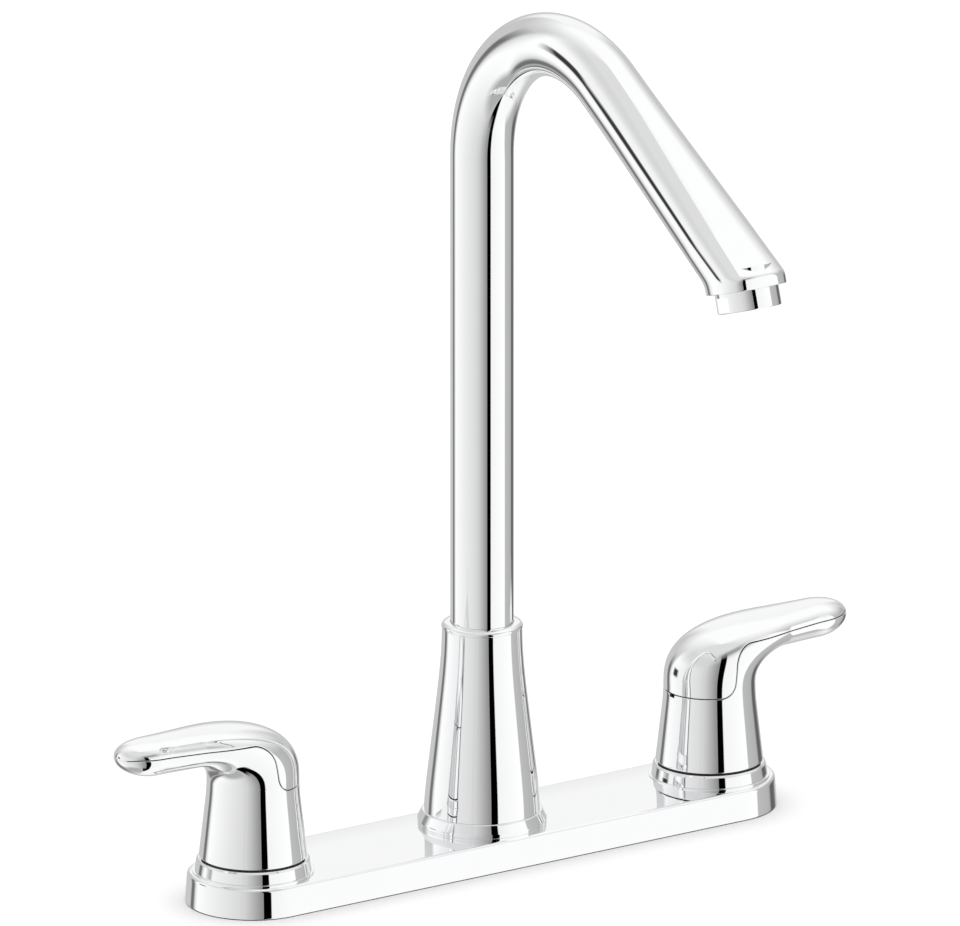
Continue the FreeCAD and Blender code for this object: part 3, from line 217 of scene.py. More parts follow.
# ---------------------------------------------------------------------------------------------
# Meshes
# ---------------------------------------------------------------------------------------------
class Skin:
    """Points and faces of one piece, gathered from grids whose edges are welded afterwards."""

    def __init__(self) -> None:
        """Starts with no points and no faces."""
        self.points: list[np.ndarray] = []
        self.faces: list[np.ndarray] = []
        self.count = 0

    def grid(self, points: np.ndarray, wrap: bool = True, loop: bool = False, flip: bool = False) -> "Skin":
        """Adds a grid of quads; it faces outwards if columns run counterclockwise about the rows' direction.

        Args:
            points: rows, columns and three coordinates, in millimetres.
            wrap: True if the last column is joined to the first.
            loop: True if the last row is joined to the first.
            flip: True to turn the faces round.

        Returns:
            This skin, so that grids can be added one after another.
        """
        rows, columns = points.shape[:2]
        row = np.arange(rows if loop else rows - 1)[:, None]
        column = np.arange(columns if wrap else columns - 1)[None, :]
        after, above = (column + 1) % columns, (row + 1) % rows
        quads = np.stack([row * columns + column, row * columns + after,
                          above * columns + after, above * columns + column], axis=-1).reshape(-1, 4)
        self.faces.append((quads[:, ::-1] if flip else quads) + self.count)
        self.points.append(points.reshape(-1, 3))
        self.count += rows * columns
        return self

    def lid(self, ring: np.ndarray, flip: bool = False) -> "Skin":
        """Closes a ring with a fan about its middle, facing along the ring's own turning direction.

        Args:
            ring: points of the ring, counterclockwise seen from outside.
            flip: True to turn the faces round.

        Returns:
            This skin.
        """
        middle = np.broadcast_to(ring.mean(axis=0), ring.shape)
        return self.grid(np.stack([ring, middle]), flip=flip)

    def piece(self, name: str, body: str, finish: bpy.types.Material, slot: str,
              stands_for: tuple = (), sharp: float = 34.0) -> bpy.types.Object:
        """Makes the object, welds its grids, shades it smoothly and ties it to the frame.

        Args:
            name: name of the piece.
            body: CAD body that it rides on.
            finish: its material.
            slot: the record's material slot; not used.
            stands_for: CAD nodes that it replaces.
            sharp: angle in degrees past which an edge stays sharp.

        Returns:
            The object.
        """
        mesh = bpy.data.meshes.new(name)
        mesh.from_pydata((np.concatenate(self.points) * MM).tolist(), [], np.concatenate(self.faces).tolist())
        work = bmesh.new()
        work.from_mesh(mesh)
        bmesh.ops.remove_doubles(work, verts=work.verts, dist=WELD)
        bmesh.ops.dissolve_degenerate(work, edges=work.edges, dist=WELD / 10)
        work.to_mesh(mesh)
        work.free()
        mesh.polygons.foreach_set("use_smooth", np.ones(len(mesh.polygons), dtype=bool))
        mesh.set_sharp_from_angle(angle=math.radians(sharp))
        mesh.materials.append(finish)
        thing = bpy.data.objects.new(name, mesh)
        bpy.context.scene.collection.objects.link(thing)
        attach(thing, body)
        if stands_for:
            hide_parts(*stands_for)
        log.info("%s: %d faces on %s", name, len(mesh.polygons), body)
        return thing


# ---------------------------------------------------------------------------------------------
# Finishes
# ---------------------------------------------------------------------------------------------
class Graph:
    """Adds nodes to a material's or the world's tree and joins them."""

    def __init__(self, tree: bpy.types.NodeTree) -> None:
        """Starts from an emptied tree."""
        tree.nodes.clear()
        self.tree = tree

    def node(self, kind: str, settings: dict | None = None, **inputs: object) -> bpy.types.Node:
        """Adds a node; an input is a number, a colour or another node's output socket.

        Args:
            kind: the node's type.
            settings: attributes of the node.
            inputs: values or sockets by input name, with _ for a space, or in0, in1 by number.

        Returns:
            The node.
        """
        made = self.tree.nodes.new(kind)
        for name, value in (settings or {}).items():
            setattr(made, name, value)
        for name, value in inputs.items():
            number = name[2:]
            socket = made.inputs[int(number)] if number.isdigit() else made.inputs[name.replace("_", " ")]
            if isinstance(value, bpy.types.NodeSocket):
                self.tree.links.new(value, socket)
            else:
                socket.default_value = value
        return made

    def maths(self, operation: str, *values: object) -> bpy.types.NodeSocket:
        """The outcome of one sum on numbers or sockets."""
        inputs = {f"in{place}": value for place, value in enumerate(values)}
        return self.node("ShaderNodeMath", {"operation": operation}, **inputs).outputs[0]

    def noise(self, scale: float, detail: float = 2.0) -> bpy.types.NodeSocket:
        """Cloudy noise on Object coordinates, from 0 to 1."""
        place = self.node("ShaderNodeTexCoord").outputs["Object"]
        return self.node("ShaderNodeTexNoise", Vector=place, Scale=scale, Detail=detail).outputs[0]

    def spread(self, value: bpy.types.NodeSocket, low: float, high: float) -> bpy.types.NodeSocket:
        """A value from 0.3 to 0.7 spread between low and high."""
        return self.node("ShaderNodeMapRange", Value=value, From_Min=0.3, From_Max=0.7,
                         To_Min=low, To_Max=high).outputs[0]

    def between(self, value: bpy.types.NodeSocket, start: float, end: float) -> bpy.types.NodeSocket:
        """How far a value has gone from start to end, kept between 0 and 1."""
        return self.node("ShaderNodeMapRange", Value=value, From_Min=start, From_Max=end).outputs[0]


@dataclass(frozen=True)
class Finish:
    """A surface finish: two near tones clouded together, and a sheen that wanders between two values."""

    name: str
    tone: tuple
    other_tone: tuple
    metallic: float
    smoothest: float
    roughest: float
    cloud_scale: float = 60.0
    grain_scale: float = 900.0
    grain_depth: float = 0.0
    turning_marks: float = 0.0

    def material(self) -> bpy.types.Material:
        """Builds the material: noise mixes the tones and sets the roughness; grain and marks are bumps.

        Returns:
            The material.
        """
        made = bpy.data.materials.new(self.name)
        made.use_nodes = True
        graph = Graph(made.node_tree)
        clouds = graph.noise(self.cloud_scale)
        tones = graph.node("ShaderNodeMix", {"data_type": "RGBA"}, in0=graph.spread(clouds, 0.0, 1.0))
        tones.inputs[6].default_value = (*self.tone, 1.0)
        tones.inputs[7].default_value = (*self.other_tone, 1.0)
        sheen = graph.spread(graph.noise(self.cloud_scale * 2.3, 3.0), self.smoothest, self.roughest)
        shader = graph.node("ShaderNodeBsdfPrincipled", Base_Color=tones.outputs[2],
                            Metallic=self.metallic, Roughness=sheen)
        if self.grain_depth:
            grain = graph.noise(self.grain_scale, 3.0)
            if self.turning_marks:
                place = graph.node("ShaderNodeTexCoord").outputs["Object"]
                marks = graph.node("ShaderNodeTexWave", {"bands_direction": "Z"}, Vector=place,
                                   Scale=self.turning_marks, Distortion=0.4).outputs[1]
                grain = graph.maths("ADD", grain, marks)
            bump = graph.node("ShaderNodeBump", Height=grain, Strength=1.0, Distance=self.grain_depth * MM)
            graph.tree.links.new(bump.outputs[0], shader.inputs["Normal"])
        graph.node("ShaderNodeOutputMaterial", Surface=shader.outputs[0])
        return made


CHROME = Finish("polished_chrome", (0.975, 0.978, 0.985), (0.965, 0.969, 0.976), 1.0, 0.022, 0.04)
BRASS = Finish("machined_brass", (0.72, 0.53, 0.26), (0.66, 0.47, 0.22), 1.0, 0.24, 0.36,
               grain_depth=0.02, turning_marks=420.0)
STEEL = Finish("plain_stainless", (0.6, 0.6, 0.61), (0.54, 0.54, 0.56), 1.0, 0.22, 0.34, grain_depth=0.01)
BLACK_PLASTIC = Finish("black_plastic", (0.012, 0.012, 0.013), (0.02, 0.02, 0.021), 0.0, 0.38, 0.5,
                       grain_depth=0.01)
WHITE_PLASTIC = Finish("moulded_plastic", (0.8, 0.8, 0.78), (0.74, 0.74, 0.72), 0.0, 0.36, 0.48,
                       grain_depth=0.01)
CERAMIC = Finish("lapped_ceramic", (0.82, 0.82, 0.8), (0.78, 0.78, 0.75), 0.0, 0.12, 0.2)
RUBBER = Finish("seal_rubber", (0.03, 0.03, 0.03), (0.045, 0.045, 0.045), 0.0, 0.55, 0.68, grain_depth=0.01)
FOAM = Finish("gasket_foam", (0.018, 0.018, 0.018), (0.045, 0.045, 0.045), 0.0, 0.8, 0.95,
              cloud_scale=500.0, grain_scale=2500.0, grain_depth=0.15)
FINISHES = {"chrome": CHROME, "brass": BRASS, "steel": STEEL, "black_plastic": BLACK_PLASTIC,
            "white_plastic": WHITE_PLASTIC, "ceramic": CERAMIC, "rubber": RUBBER, "foam": FOAM}


class Paints:
    """The materials, each made once, by the record's slot."""

    def __init__(self) -> None:
        """Builds every finish."""
        self.by_slot = {slot: finish.material() for slot, finish in FINISHES.items()}

    def __getitem__(self, slot: str) -> bpy.types.Material:
        """The material of a slot."""
        return self.by_slot[slot]


# ---------------------------------------------------------------------------------------------
# Deck plate and gasket
# ---------------------------------------------------------------------------------------------
@dataclass
class DeckPlate:
    """Hollow chrome plate with half round ends, a crowned top, a rounded edge and three flat pads."""

    half_spacing: float = 101.6
    depth: float = 49.6
    edge_height: float = 11.2
    crown: float = 0.7
    draft: float = 0.8
    wall: float = 2.6
    edge_round: float = 1.6
    pad_rise: float = 0.3
    pad_root: float = 1.0
    pad_round: float = 0.12
    handle_pad: float = 22.3
    spout_pad: float = 23.7
    rim_lift: float = 0.25
    rim_round: float = 0.3
    gasket_inset: float = 0.25
    gasket_thickness: float = 2.0
    outline: tuple = field(init=False)

    def __post_init__(self) -> None:
        """Works out the outline's middle points and outward directions, counterclockwise from the left."""
        along = self.half_spacing * np.linspace(-1, 1, 41)
        turn = np.linspace(-np.pi / 2, np.pi / 2, 49)[1:-1]
        middle = np.concatenate([along, np.full(turn.shape, self.half_spacing),
                                 along[::-1], np.full(turn.shape, -self.half_spacing)])
        across = np.concatenate([0 * along, np.cos(turn), 0 * along, -np.cos(turn)])
        ahead = np.concatenate([0 * along - 1, np.sin(turn), 0 * along + 1, -np.sin(turn)])
        self.outline = (middle, across, ahead)

    @property
    def top(self) -> float:
        """Height of the plate's middle line."""
        return self.edge_height + self.crown

    def swept(self, inset: np.ndarray, height: np.ndarray) -> np.ndarray:
        """Rings inside the outline: middle point plus (half depth less inset) times the outward direction.

        Args:
            inset: distance in from the outline's foot, rows by columns or a column of rows.
            height: height of each point, in the same shape.

        Returns:
            Rings as an array.
        """
        middle, across, ahead = self.outline
        reach = self.depth / 2 - inset + 0 * middle
        return np.stack([middle + reach * across, reach * ahead, height + 0 * reach], axis=-1)

    def crowned(self, inset: np.ndarray) -> np.ndarray:
        """Height of the top: a cylinder of radius r along X falls by y * y / 2 r from the middle line."""
        roll = (self.depth**2 / 4 + self.crown**2) / (2 * self.crown)
        across = (self.depth / 2 - inset) * self.outline[2]
        return self.top - across**2 / (2 * roll)

    def edge(self) -> tuple:
        """Where the edge rounding's centre lies, and how far its first and last directions lean.

        Returns:
            Inset and height of the centre, lean of the wall and slope of the top at the edge.
        """
        roll = (self.depth**2 / 4 + self.crown**2) / (2 * self.crown)
        lean = np.arctan(self.draft / self.top)
        inset = np.full(self.outline[0].shape, self.edge_round)
        slope = np.zeros_like(inset)
        height = inset
        for _ in range(4):
            slope = np.arctan((self.depth / 2 - inset) * self.outline[2] ** 2 / roll)
            height = self.crowned(inset) - self.edge_round / np.cos(slope)
            inset = self.draft * height / self.top + self.edge_round / np.cos(lean)
        return inset, height, lean, slope

    def build(self, paints: Paints) -> None:
        """Makes the plate and the gasket under it.

        Args:
            paints: the materials.
        """
        inset, height, lean, slope = self.edge()
        share = np.linspace(0, 1, 13)[:, None]
        turn = lean + (np.pi / 2 - slope - lean) * share
        edge_inset = inset - self.edge_round * np.cos(turn)
        edge_height = height + self.edge_round * np.sin(turn)
        foot = self.rim_lift + self.rim_round
        wall_height = foot + (edge_height[0] - foot) * np.array([0, 0.03, 0.5, 0.97])[:, None]
        wall_inset = self.draft * wall_height / self.top
        roll = np.linspace(0, np.pi / 2, 6)[::-1, None]
        foot_inset = self.draft * foot / self.top + self.rim_round * (1 - np.cos(roll)) + 0 * inset
        foot_height = foot - self.rim_round * np.sin(roll) + 0 * inset
        inward = np.array([0.006, 0.02, 0.06, 0.15, 0.3, 0.45, 0.6, 0.75, 0.88, 1.0])[:, None]
        top_inset = edge_inset[-1] + (self.depth / 2 - edge_inset[-1]) * inward
        skin = Skin()
        skin.grid(self.swept(
            np.concatenate([foot_inset, wall_inset + 0 * inset, edge_inset, top_inset]),
            np.concatenate([foot_height, wall_height, edge_height, self.crowned(top_inset)])))
        ceiling = self.top - self.wall
        inner = np.array([[self.depth / 2, ceiling], [self.wall + 1, ceiling], [self.wall, ceiling - 1],
                          [self.wall, self.rim_lift], [foot_inset[0, 0], self.rim_lift]])
        skin.grid(self.swept(inner[:, :1], inner[:, 1:]))
        for place, radius in ((-self.half_spacing, self.handle_pad), (0.0, self.spout_pad),
                              (self.half_spacing, self.handle_pad)):
            seat = self.top + self.pad_rise
            root = self.top - self.pad_root
            profile = rounded([(0, root, 0), (radius, root, 0), (radius, seat, self.pad_round), (0, seat, 0)],
                              closed=False)
            skin.grid(Axes((place, 0, 0)).carry(turned(profile)))
        skin.piece("deck_plate_shell", "base", paints["chrome"], "chrome", ("deck_plate",))
        pad = Skin()
        lip = self.rim_lift - 0.01
        section = np.array([[self.depth / 2, 0], [self.gasket_inset, 0], [self.gasket_inset, lip],
                            [self.wall + 0.05, lip], [self.wall + 0.05, self.gasket_thickness],
                            [self.depth / 2, self.gasket_thickness]])
        pad.grid(self.swept(section[:, :1], section[:, 1:]))
        pad.piece("deck_gasket_pad", "base", paints["foam"], "foam", ("deck_gasket",))


# ---------------------------------------------------------------------------------------------
# Rings under the handles, the spout's sleeve and collar
# ---------------------------------------------------------------------------------------------
@dataclass
class HandleTrim:
    """Chrome ring on the plate under a handle, with the black glide ring that the handle turns on."""

    side: Side
    half_spacing: float = 101.6
    seat: float = 12.2
    foot: float = 21.4
    rim: float = 20.7
    height: float = 4.6
    bore: float = 15.6
    bevel: float = 0.7
    glide: float = 18.9
    glide_bore: float = 16.6
    glide_depth: float = 0.8
    glide_rise: float = 0.4

    def build(self, paints: Paints) -> None:
        """Makes both rings as turned profiles.

        Args:
            paints: the materials.
        """
        place = Axes((self.side.sign * self.half_spacing, 0, 0))
        top = self.seat + self.height
        floor = top - self.glide_depth
        ring = rounded([(self.bore, self.seat, 0), (self.foot, self.seat, 0.15),
                        (self.rim, top - self.bevel, 0.35), (self.rim - self.bevel, top, 0.35),
                        (self.glide, top, 0.1), (self.glide, floor, 0), (self.bore, floor, 0)])
        Skin().grid(place.carry(turned(ring)), loop=True).piece(
            f"handle_ring_{self.side.value}", "base", paints["chrome"], "chrome",
            (f"escutcheon_ring_{self.side.value}",))
        glide = rounded([(self.glide_bore, floor, 0), (self.glide - 0.04, floor, 0),
                         (self.glide - 0.04, top + self.glide_rise, 0.15),
                         (self.glide_bore, top + self.glide_rise, 0.15)])
        Skin().grid(place.carry(turned(glide)), loop=True).piece(
            f"turning_ring_{self.side.value}", "base", paints["black_plastic"], "black_plastic",
            (f"glide_ring_{self.side.value}",))


@dataclass
class SpoutFoot:
    """Base ring, tapered sleeve and bead collar that stand still round the turning spout."""

    seat: float = 12.2
    ring_foot: float = 23.7
    ring_top: float = 22.0
    ring_band: float = 1.4
    ring_height: float = 4.8
    ring_bore: float = 17.0
    sleeve_heights: tuple = (17.0, 20.2, 35.4, 58.3, 81.2, 86.4)
    sleeve_radii: tuple = (21.3, 21.1, 19.5, 16.8, 14.8, 14.7)
    sleeve_wall: float = 1.8
    foot_bore: float = 19.4
    collar_radius: float = 14.9
    collar_height: float = 2.2
    collar_band: float = 0.5
    collar_clearance: float = 0.12
    sleeve_clearance: float = 0.05
    tube_radius: float = 11.6

    def build(self, paints: Paints) -> None:
        """Makes the three pieces as turned profiles.

        Args:
            paints: the materials.
        """
        top = self.seat + self.ring_height
        ring = rounded([(self.ring_bore, self.seat, 0), (self.ring_foot, self.seat, 0.2),
                        (self.ring_foot, self.seat + self.ring_band, 0.8), (self.ring_top, top, 0.5),
                        (self.ring_bore, top, 0)])
        Skin().grid(turned(ring), loop=True).piece(
            "spout_foot_ring", "base", paints["chrome"], "chrome", ("spout_base_ring",))
        low, high = self.sleeve_heights[0], self.sleeve_heights[-1]
        levels = np.concatenate([[0.12, 0.3], np.linspace(1, high - low - 1, 45), [high - low - 0.25]]) + low
        radii = smooth_curve(self.sleeve_heights, self.sleeve_radii, levels)
        outside = np.stack([radii, levels], axis=1)
        mouth_radius = self.tube_radius + self.sleeve_clearance
        mouth = rounded([tuple(outside[-1]) + (0,), (self.sleeve_radii[-1], high, 0.2),
                         (mouth_radius, high, 0)], closed=False)
        inside = np.stack([radii[::-1] - self.sleeve_wall, levels[::-1]], axis=1)
        inside[:, 0] = np.minimum(inside[:, 0], np.linspace(mouth_radius, self.foot_bore, len(inside)))
        foot = np.array([[radii[0] - self.sleeve_wall, low + 0.02], [radii[0] - 0.1, low + 0.02]])
        profile = np.concatenate([outside, mouth[1:], inside[2:], foot])
        Skin().grid(turned(profile), loop=True).piece(
            "tapered_sleeve", "base", paints["chrome"], "chrome", ("spout_sleeve",))
        turn = np.linspace(0, np.pi / 2, 19)
        bore = self.tube_radius + self.collar_clearance
        start = high + self.collar_band
        dome = np.stack([bore + (self.collar_radius - bore) * np.cos(turn),
                         start + (high + self.collar_height - start) * np.sin(turn)], axis=1)
        under = rounded([(bore, high + 0.02, 0), (self.collar_radius, high + 0.02, 0.3),
                         (self.collar_radius, start, 0)], closed=False)
        Skin().grid(turned(np.concatenate([under, dome[1:]])), loop=True).piece(
            "bead_collar", "base", paints["chrome"], "chrome", ("spout_collar",))


# ---------------------------------------------------------------------------------------------
# Spout and aerator
# ---------------------------------------------------------------------------------------------
@dataclass
class Gooseneck:
    """Turning spout: upright tube, bend, arm that widens and flattens, and the head over the outlet."""

    radius: float = 11.6
    foot: float = 58.0
    bend_start: float = 266.3
    bend_radius: float = 52.7
    arm_slope: float = 31.1
    arm_length: float = 102.6
    arm_half_width: float = 14.4
    arm_half_height: float = 9.5
    fullness: float = 2.6
    outlet_drop: float = 2.7
    outlet_tilt: float = 17.2
    outlet_half_width: float = 13.8
    outlet_half_length: float = 12.5
    outlet_fullness: float = 2.9
    lip_height: float = 4.05
    lip_fall: float = 0.25
    setback: float = 2.35
    setback_swing: float = 1.25
    least_wall: float = 0.3
    rim_round: float = 0.35
    socket: float = 10.95
    socket_bevel: tuple = (0.2, 0.3)
    socket_depth: float = 8.0
    columns: int = 128

    def section(self, half_width: np.ndarray, half_height: np.ndarray, fullness: np.ndarray) -> tuple:
        """Superellipse: the distance from the middle at turn t is
        (|cos t / half width| ** n + |sin t / half height| ** n) ** (-1 / n).

        Args:
            half_width: along X.
            half_height: across X.
            fullness: the exponent n; 2 gives an ellipse.

        Returns:
            Places along the two directions, one per column.
        """
        turn = around(self.columns)
        far = np.abs(np.cos(turn) / half_width) ** fullness + np.abs(np.sin(turn) / half_height) ** fullness
        far = far ** (-1 / fullness)
        return far * np.cos(turn), far * np.sin(turn)

    def bend_frame(self, turn: np.ndarray) -> tuple:
        """Centre line of the bend after a turn: its middle, and the direction that points off the bend.

        Args:
            turn: how far the bend has turned, in radians.

        Returns:
            Centres and outer directions, both ending in three coordinates.
        """
        zero = 0 * turn
        centre = np.stack([zero, -self.bend_radius * (1 - np.cos(turn)),
                           self.bend_start + self.bend_radius * np.sin(turn)], axis=-1)
        outer = np.stack([zero, np.cos(turn), np.sin(turn)], axis=-1)
        return centre, outer

    def outlet_axes(self) -> Axes:
        """The outlet: origin at the rim's middle, z along the water's way out, y to the front."""
        whole = np.radians(90 + self.arm_slope)
        centre, up = self.bend_frame(whole)
        along = np.array([0, -np.sin(whole), np.cos(whole)])
        middle = centre + along * self.arm_length - up * self.outlet_drop
        tilt = np.radians(self.outlet_tilt)
        return Axes(tuple(middle), y=(0.0, -math.cos(tilt), math.sin(tilt)),
                    z=(0.0, -math.sin(tilt), -math.cos(tilt)))

    def upright_and_bend(self) -> np.ndarray:
        """Rings of the upright tube and the bend: a circle carried along the centre line."""
        across, upward = self.section(self.radius, self.radius, 2.0)
        levels = np.array([self.foot, 80, 88, 89, 92, 140, 200, 250, 262, self.bend_start - 0.8])
        turn = np.linspace(0, np.radians(90 + self.arm_slope), 73)
        centre, outer = self.bend_frame(np.concatenate([0 * levels, turn]))
        centre[:len(levels), 2] = levels
        section = across[None, :, None] * SIDEWAYS + upward[None, :, None] * outer[:, None]
        return centre[:, None] + section

    def arm(self, run: np.ndarray) -> np.ndarray:
        """Rings of the arm: the section widens, flattens and fills out as it runs.

        Args:
            run: distances from the bend's end.

        Returns:
            Rings as an array.
        """
        whole = np.radians(90 + self.arm_slope)
        centre, up = self.bend_frame(whole)
        along = np.array([0, -np.sin(whole), np.cos(whole)])
        share = eased(run / self.arm_length, 0.25)[:, None]
        across, upward = self.section(self.radius + (self.arm_half_width - self.radius) * share,
                                      self.radius + (self.arm_half_height - self.radius) * share,
                                      2 + (self.fullness - 2) * share)
        section = across[..., None] * SIDEWAYS + upward[..., None] * up
        return centre + run[:, None, None] * along + section

    def head(self, last: np.ndarray) -> np.ndarray:
        """Rings from the arm's last ring to the outlet rim.

        Each column runs straight to its own place on a slanting corner ring above the outlet, turns
        there along a parabola, tight at the toe and wide at the heel, and runs down to the rim.

        Args:
            last: the arm's last ring.

        Returns:
            Rings as an array.
        """
        axes = self.outlet_axes()
        turn = around(self.columns)
        across, ahead = self.section(self.outlet_half_width, self.outlet_half_length, self.outlet_fullness)
        lift = self.lip_height + self.lip_fall * np.sin(turn)
        corner = axes.carry(np.stack([across, ahead, -lift], axis=-1))
        rim = axes.carry(np.stack([across, ahead, 0 * across], axis=-1))
        setback = (self.setback - self.setback_swing * np.sin(turn))[:, None]
        back = (last - corner) / np.linalg.norm(last - corner, axis=1, keepdims=True)
        down = (rim - corner) / np.linalg.norm(rim - corner, axis=1, keepdims=True)
        start = corner + back * setback
        end = corner + down * np.minimum(setback, lift[:, None] - self.least_wall)
        share = np.linspace(0, 1, 17)[:, None, None]
        curve = (1 - share) ** 2 * start + 2 * share * (1 - share) * corner + share**2 * end
        run = np.array([0.15, 0.35, 0.55, 0.75, 0.9, 0.98])[:, None, None]
        straight = last + (start - last) * run
        lip = end + (rim - end) * np.array([0.3, 0.8])[:, None, None]
        return np.concatenate([straight, curve, lip])

    def mouth(self) -> np.ndarray:
        """Rings of the rim's small rounding, its flat end and the socket for the aerator."""
        axes = self.outlet_axes()
        across, ahead = self.section(self.outlet_half_width, self.outlet_half_length, self.outlet_fullness)
        outline = np.stack([across, ahead], axis=-1)
        circle = np.stack([np.cos(around(self.columns)), np.sin(around(self.columns))], axis=-1)
        curl = self.rim_round
        widening, bevel_depth = self.socket_bevel
        turn = np.linspace(0, np.pi / 2, 6)[1:, None, None]
        far = np.linalg.norm(outline, axis=1, keepdims=True)
        rolled = outline * (1 - curl * (1 - np.cos(turn)) / far)
        depth = curl * (1 - np.sin(turn)) + 0 * far[None]
        rows = [np.concatenate([rolled, -depth], axis=-1)]
        for radius, level in ((self.socket + widening, 0.0), (self.socket, 0.0), (self.socket, -bevel_depth),
                              (self.socket, -self.socket_depth)):
            rows.append(np.concatenate([circle * radius, np.full((self.columns, 1), level)], axis=-1)[None])
        return axes.carry(np.concatenate(rows))

    def build(self, paints: Paints) -> None:
        """Makes the whole tube as one closed skin.

        Args:
            paints: the materials.
        """
        lower = self.upright_and_bend()
        arm = self.arm(np.concatenate([[0.8, 2.5], np.linspace(5, 82, 34)]))
        rings = np.concatenate([lower, arm, self.head(arm[-1]), self.mouth()])
        skin = Skin().grid(rings)
        skin.lid(rings[0], flip=True)
        skin.lid(rings[-1])
        skin.piece("gooseneck_tube", "spout", paints["chrome"], "chrome", ("spout_tube",))
        Aerator(self.outlet_axes()).build(paints)


@dataclass
class Aerator:
    """Round chrome outlet under the spout's head, with two wrench flats and an inward lip."""

    axes: Axes
    radius: float = 11.7
    height: float = 7.4
    thread: float = 10.9
    thread_length: float = 5.0
    bore: float = 9.4
    flat: float = 11.15
    flat_start: float = 1.5
    bevel: float = 0.45
    lip: float = 0.9
    lip_height: float = 0.8
    clearance: float = 0.05

    def build(self, paints: Paints) -> None:
        """Makes the housing: a turned profile whose radius stops at flat / |cos turn| on the flats.

        Args:
            paints: the materials.
        """
        mouth = self.bore - self.lip
        ledge = self.height - self.lip_height
        profile = rounded([
            (self.bore, -self.thread_length, 0), (self.thread, -self.thread_length, 0),
            (self.thread, self.clearance, 0), (self.radius, self.clearance, 0.1),
            (self.radius, self.flat_start, 0), (self.radius, self.flat_start + 0.02, 0),
            (self.radius, self.height, self.bevel), (mouth, self.height, 0.2),
            (mouth, ledge, 0), (self.bore, ledge, 0)])
        edge = math.acos(self.flat / self.radius)
        breaks = np.array([edge, math.pi - edge, math.pi + edge, 2 * math.pi - edge])
        turn = np.unique(np.concatenate([around(144), breaks, breaks + 0.004]))
        radius, height = profile[:, :1], profile[:, 1:]
        on_flat = self.flat / np.maximum(np.abs(np.cos(turn)), 0.2)
        limit = np.where(height > self.flat_start + 0.01, on_flat, 1e3)
        # The bevel follows the flat, so its share of the radius is taken off the flat too
        shy = np.where(height > self.height - self.bevel, self.radius - np.maximum(radius, mouth + 0.5), 0)
        outer = np.where(radius > self.thread + 0.3, np.minimum(radius, limit - shy), radius)
        points = np.stack([outer * np.cos(turn), outer * np.sin(turn), height + 0 * turn], axis=-1)
        Skin().grid(self.axes.carry(points), loop=True).piece(
            "aerator_shell", "spout", paints["chrome"], "chrome", ("aerator_housing",), sharp=28.0)


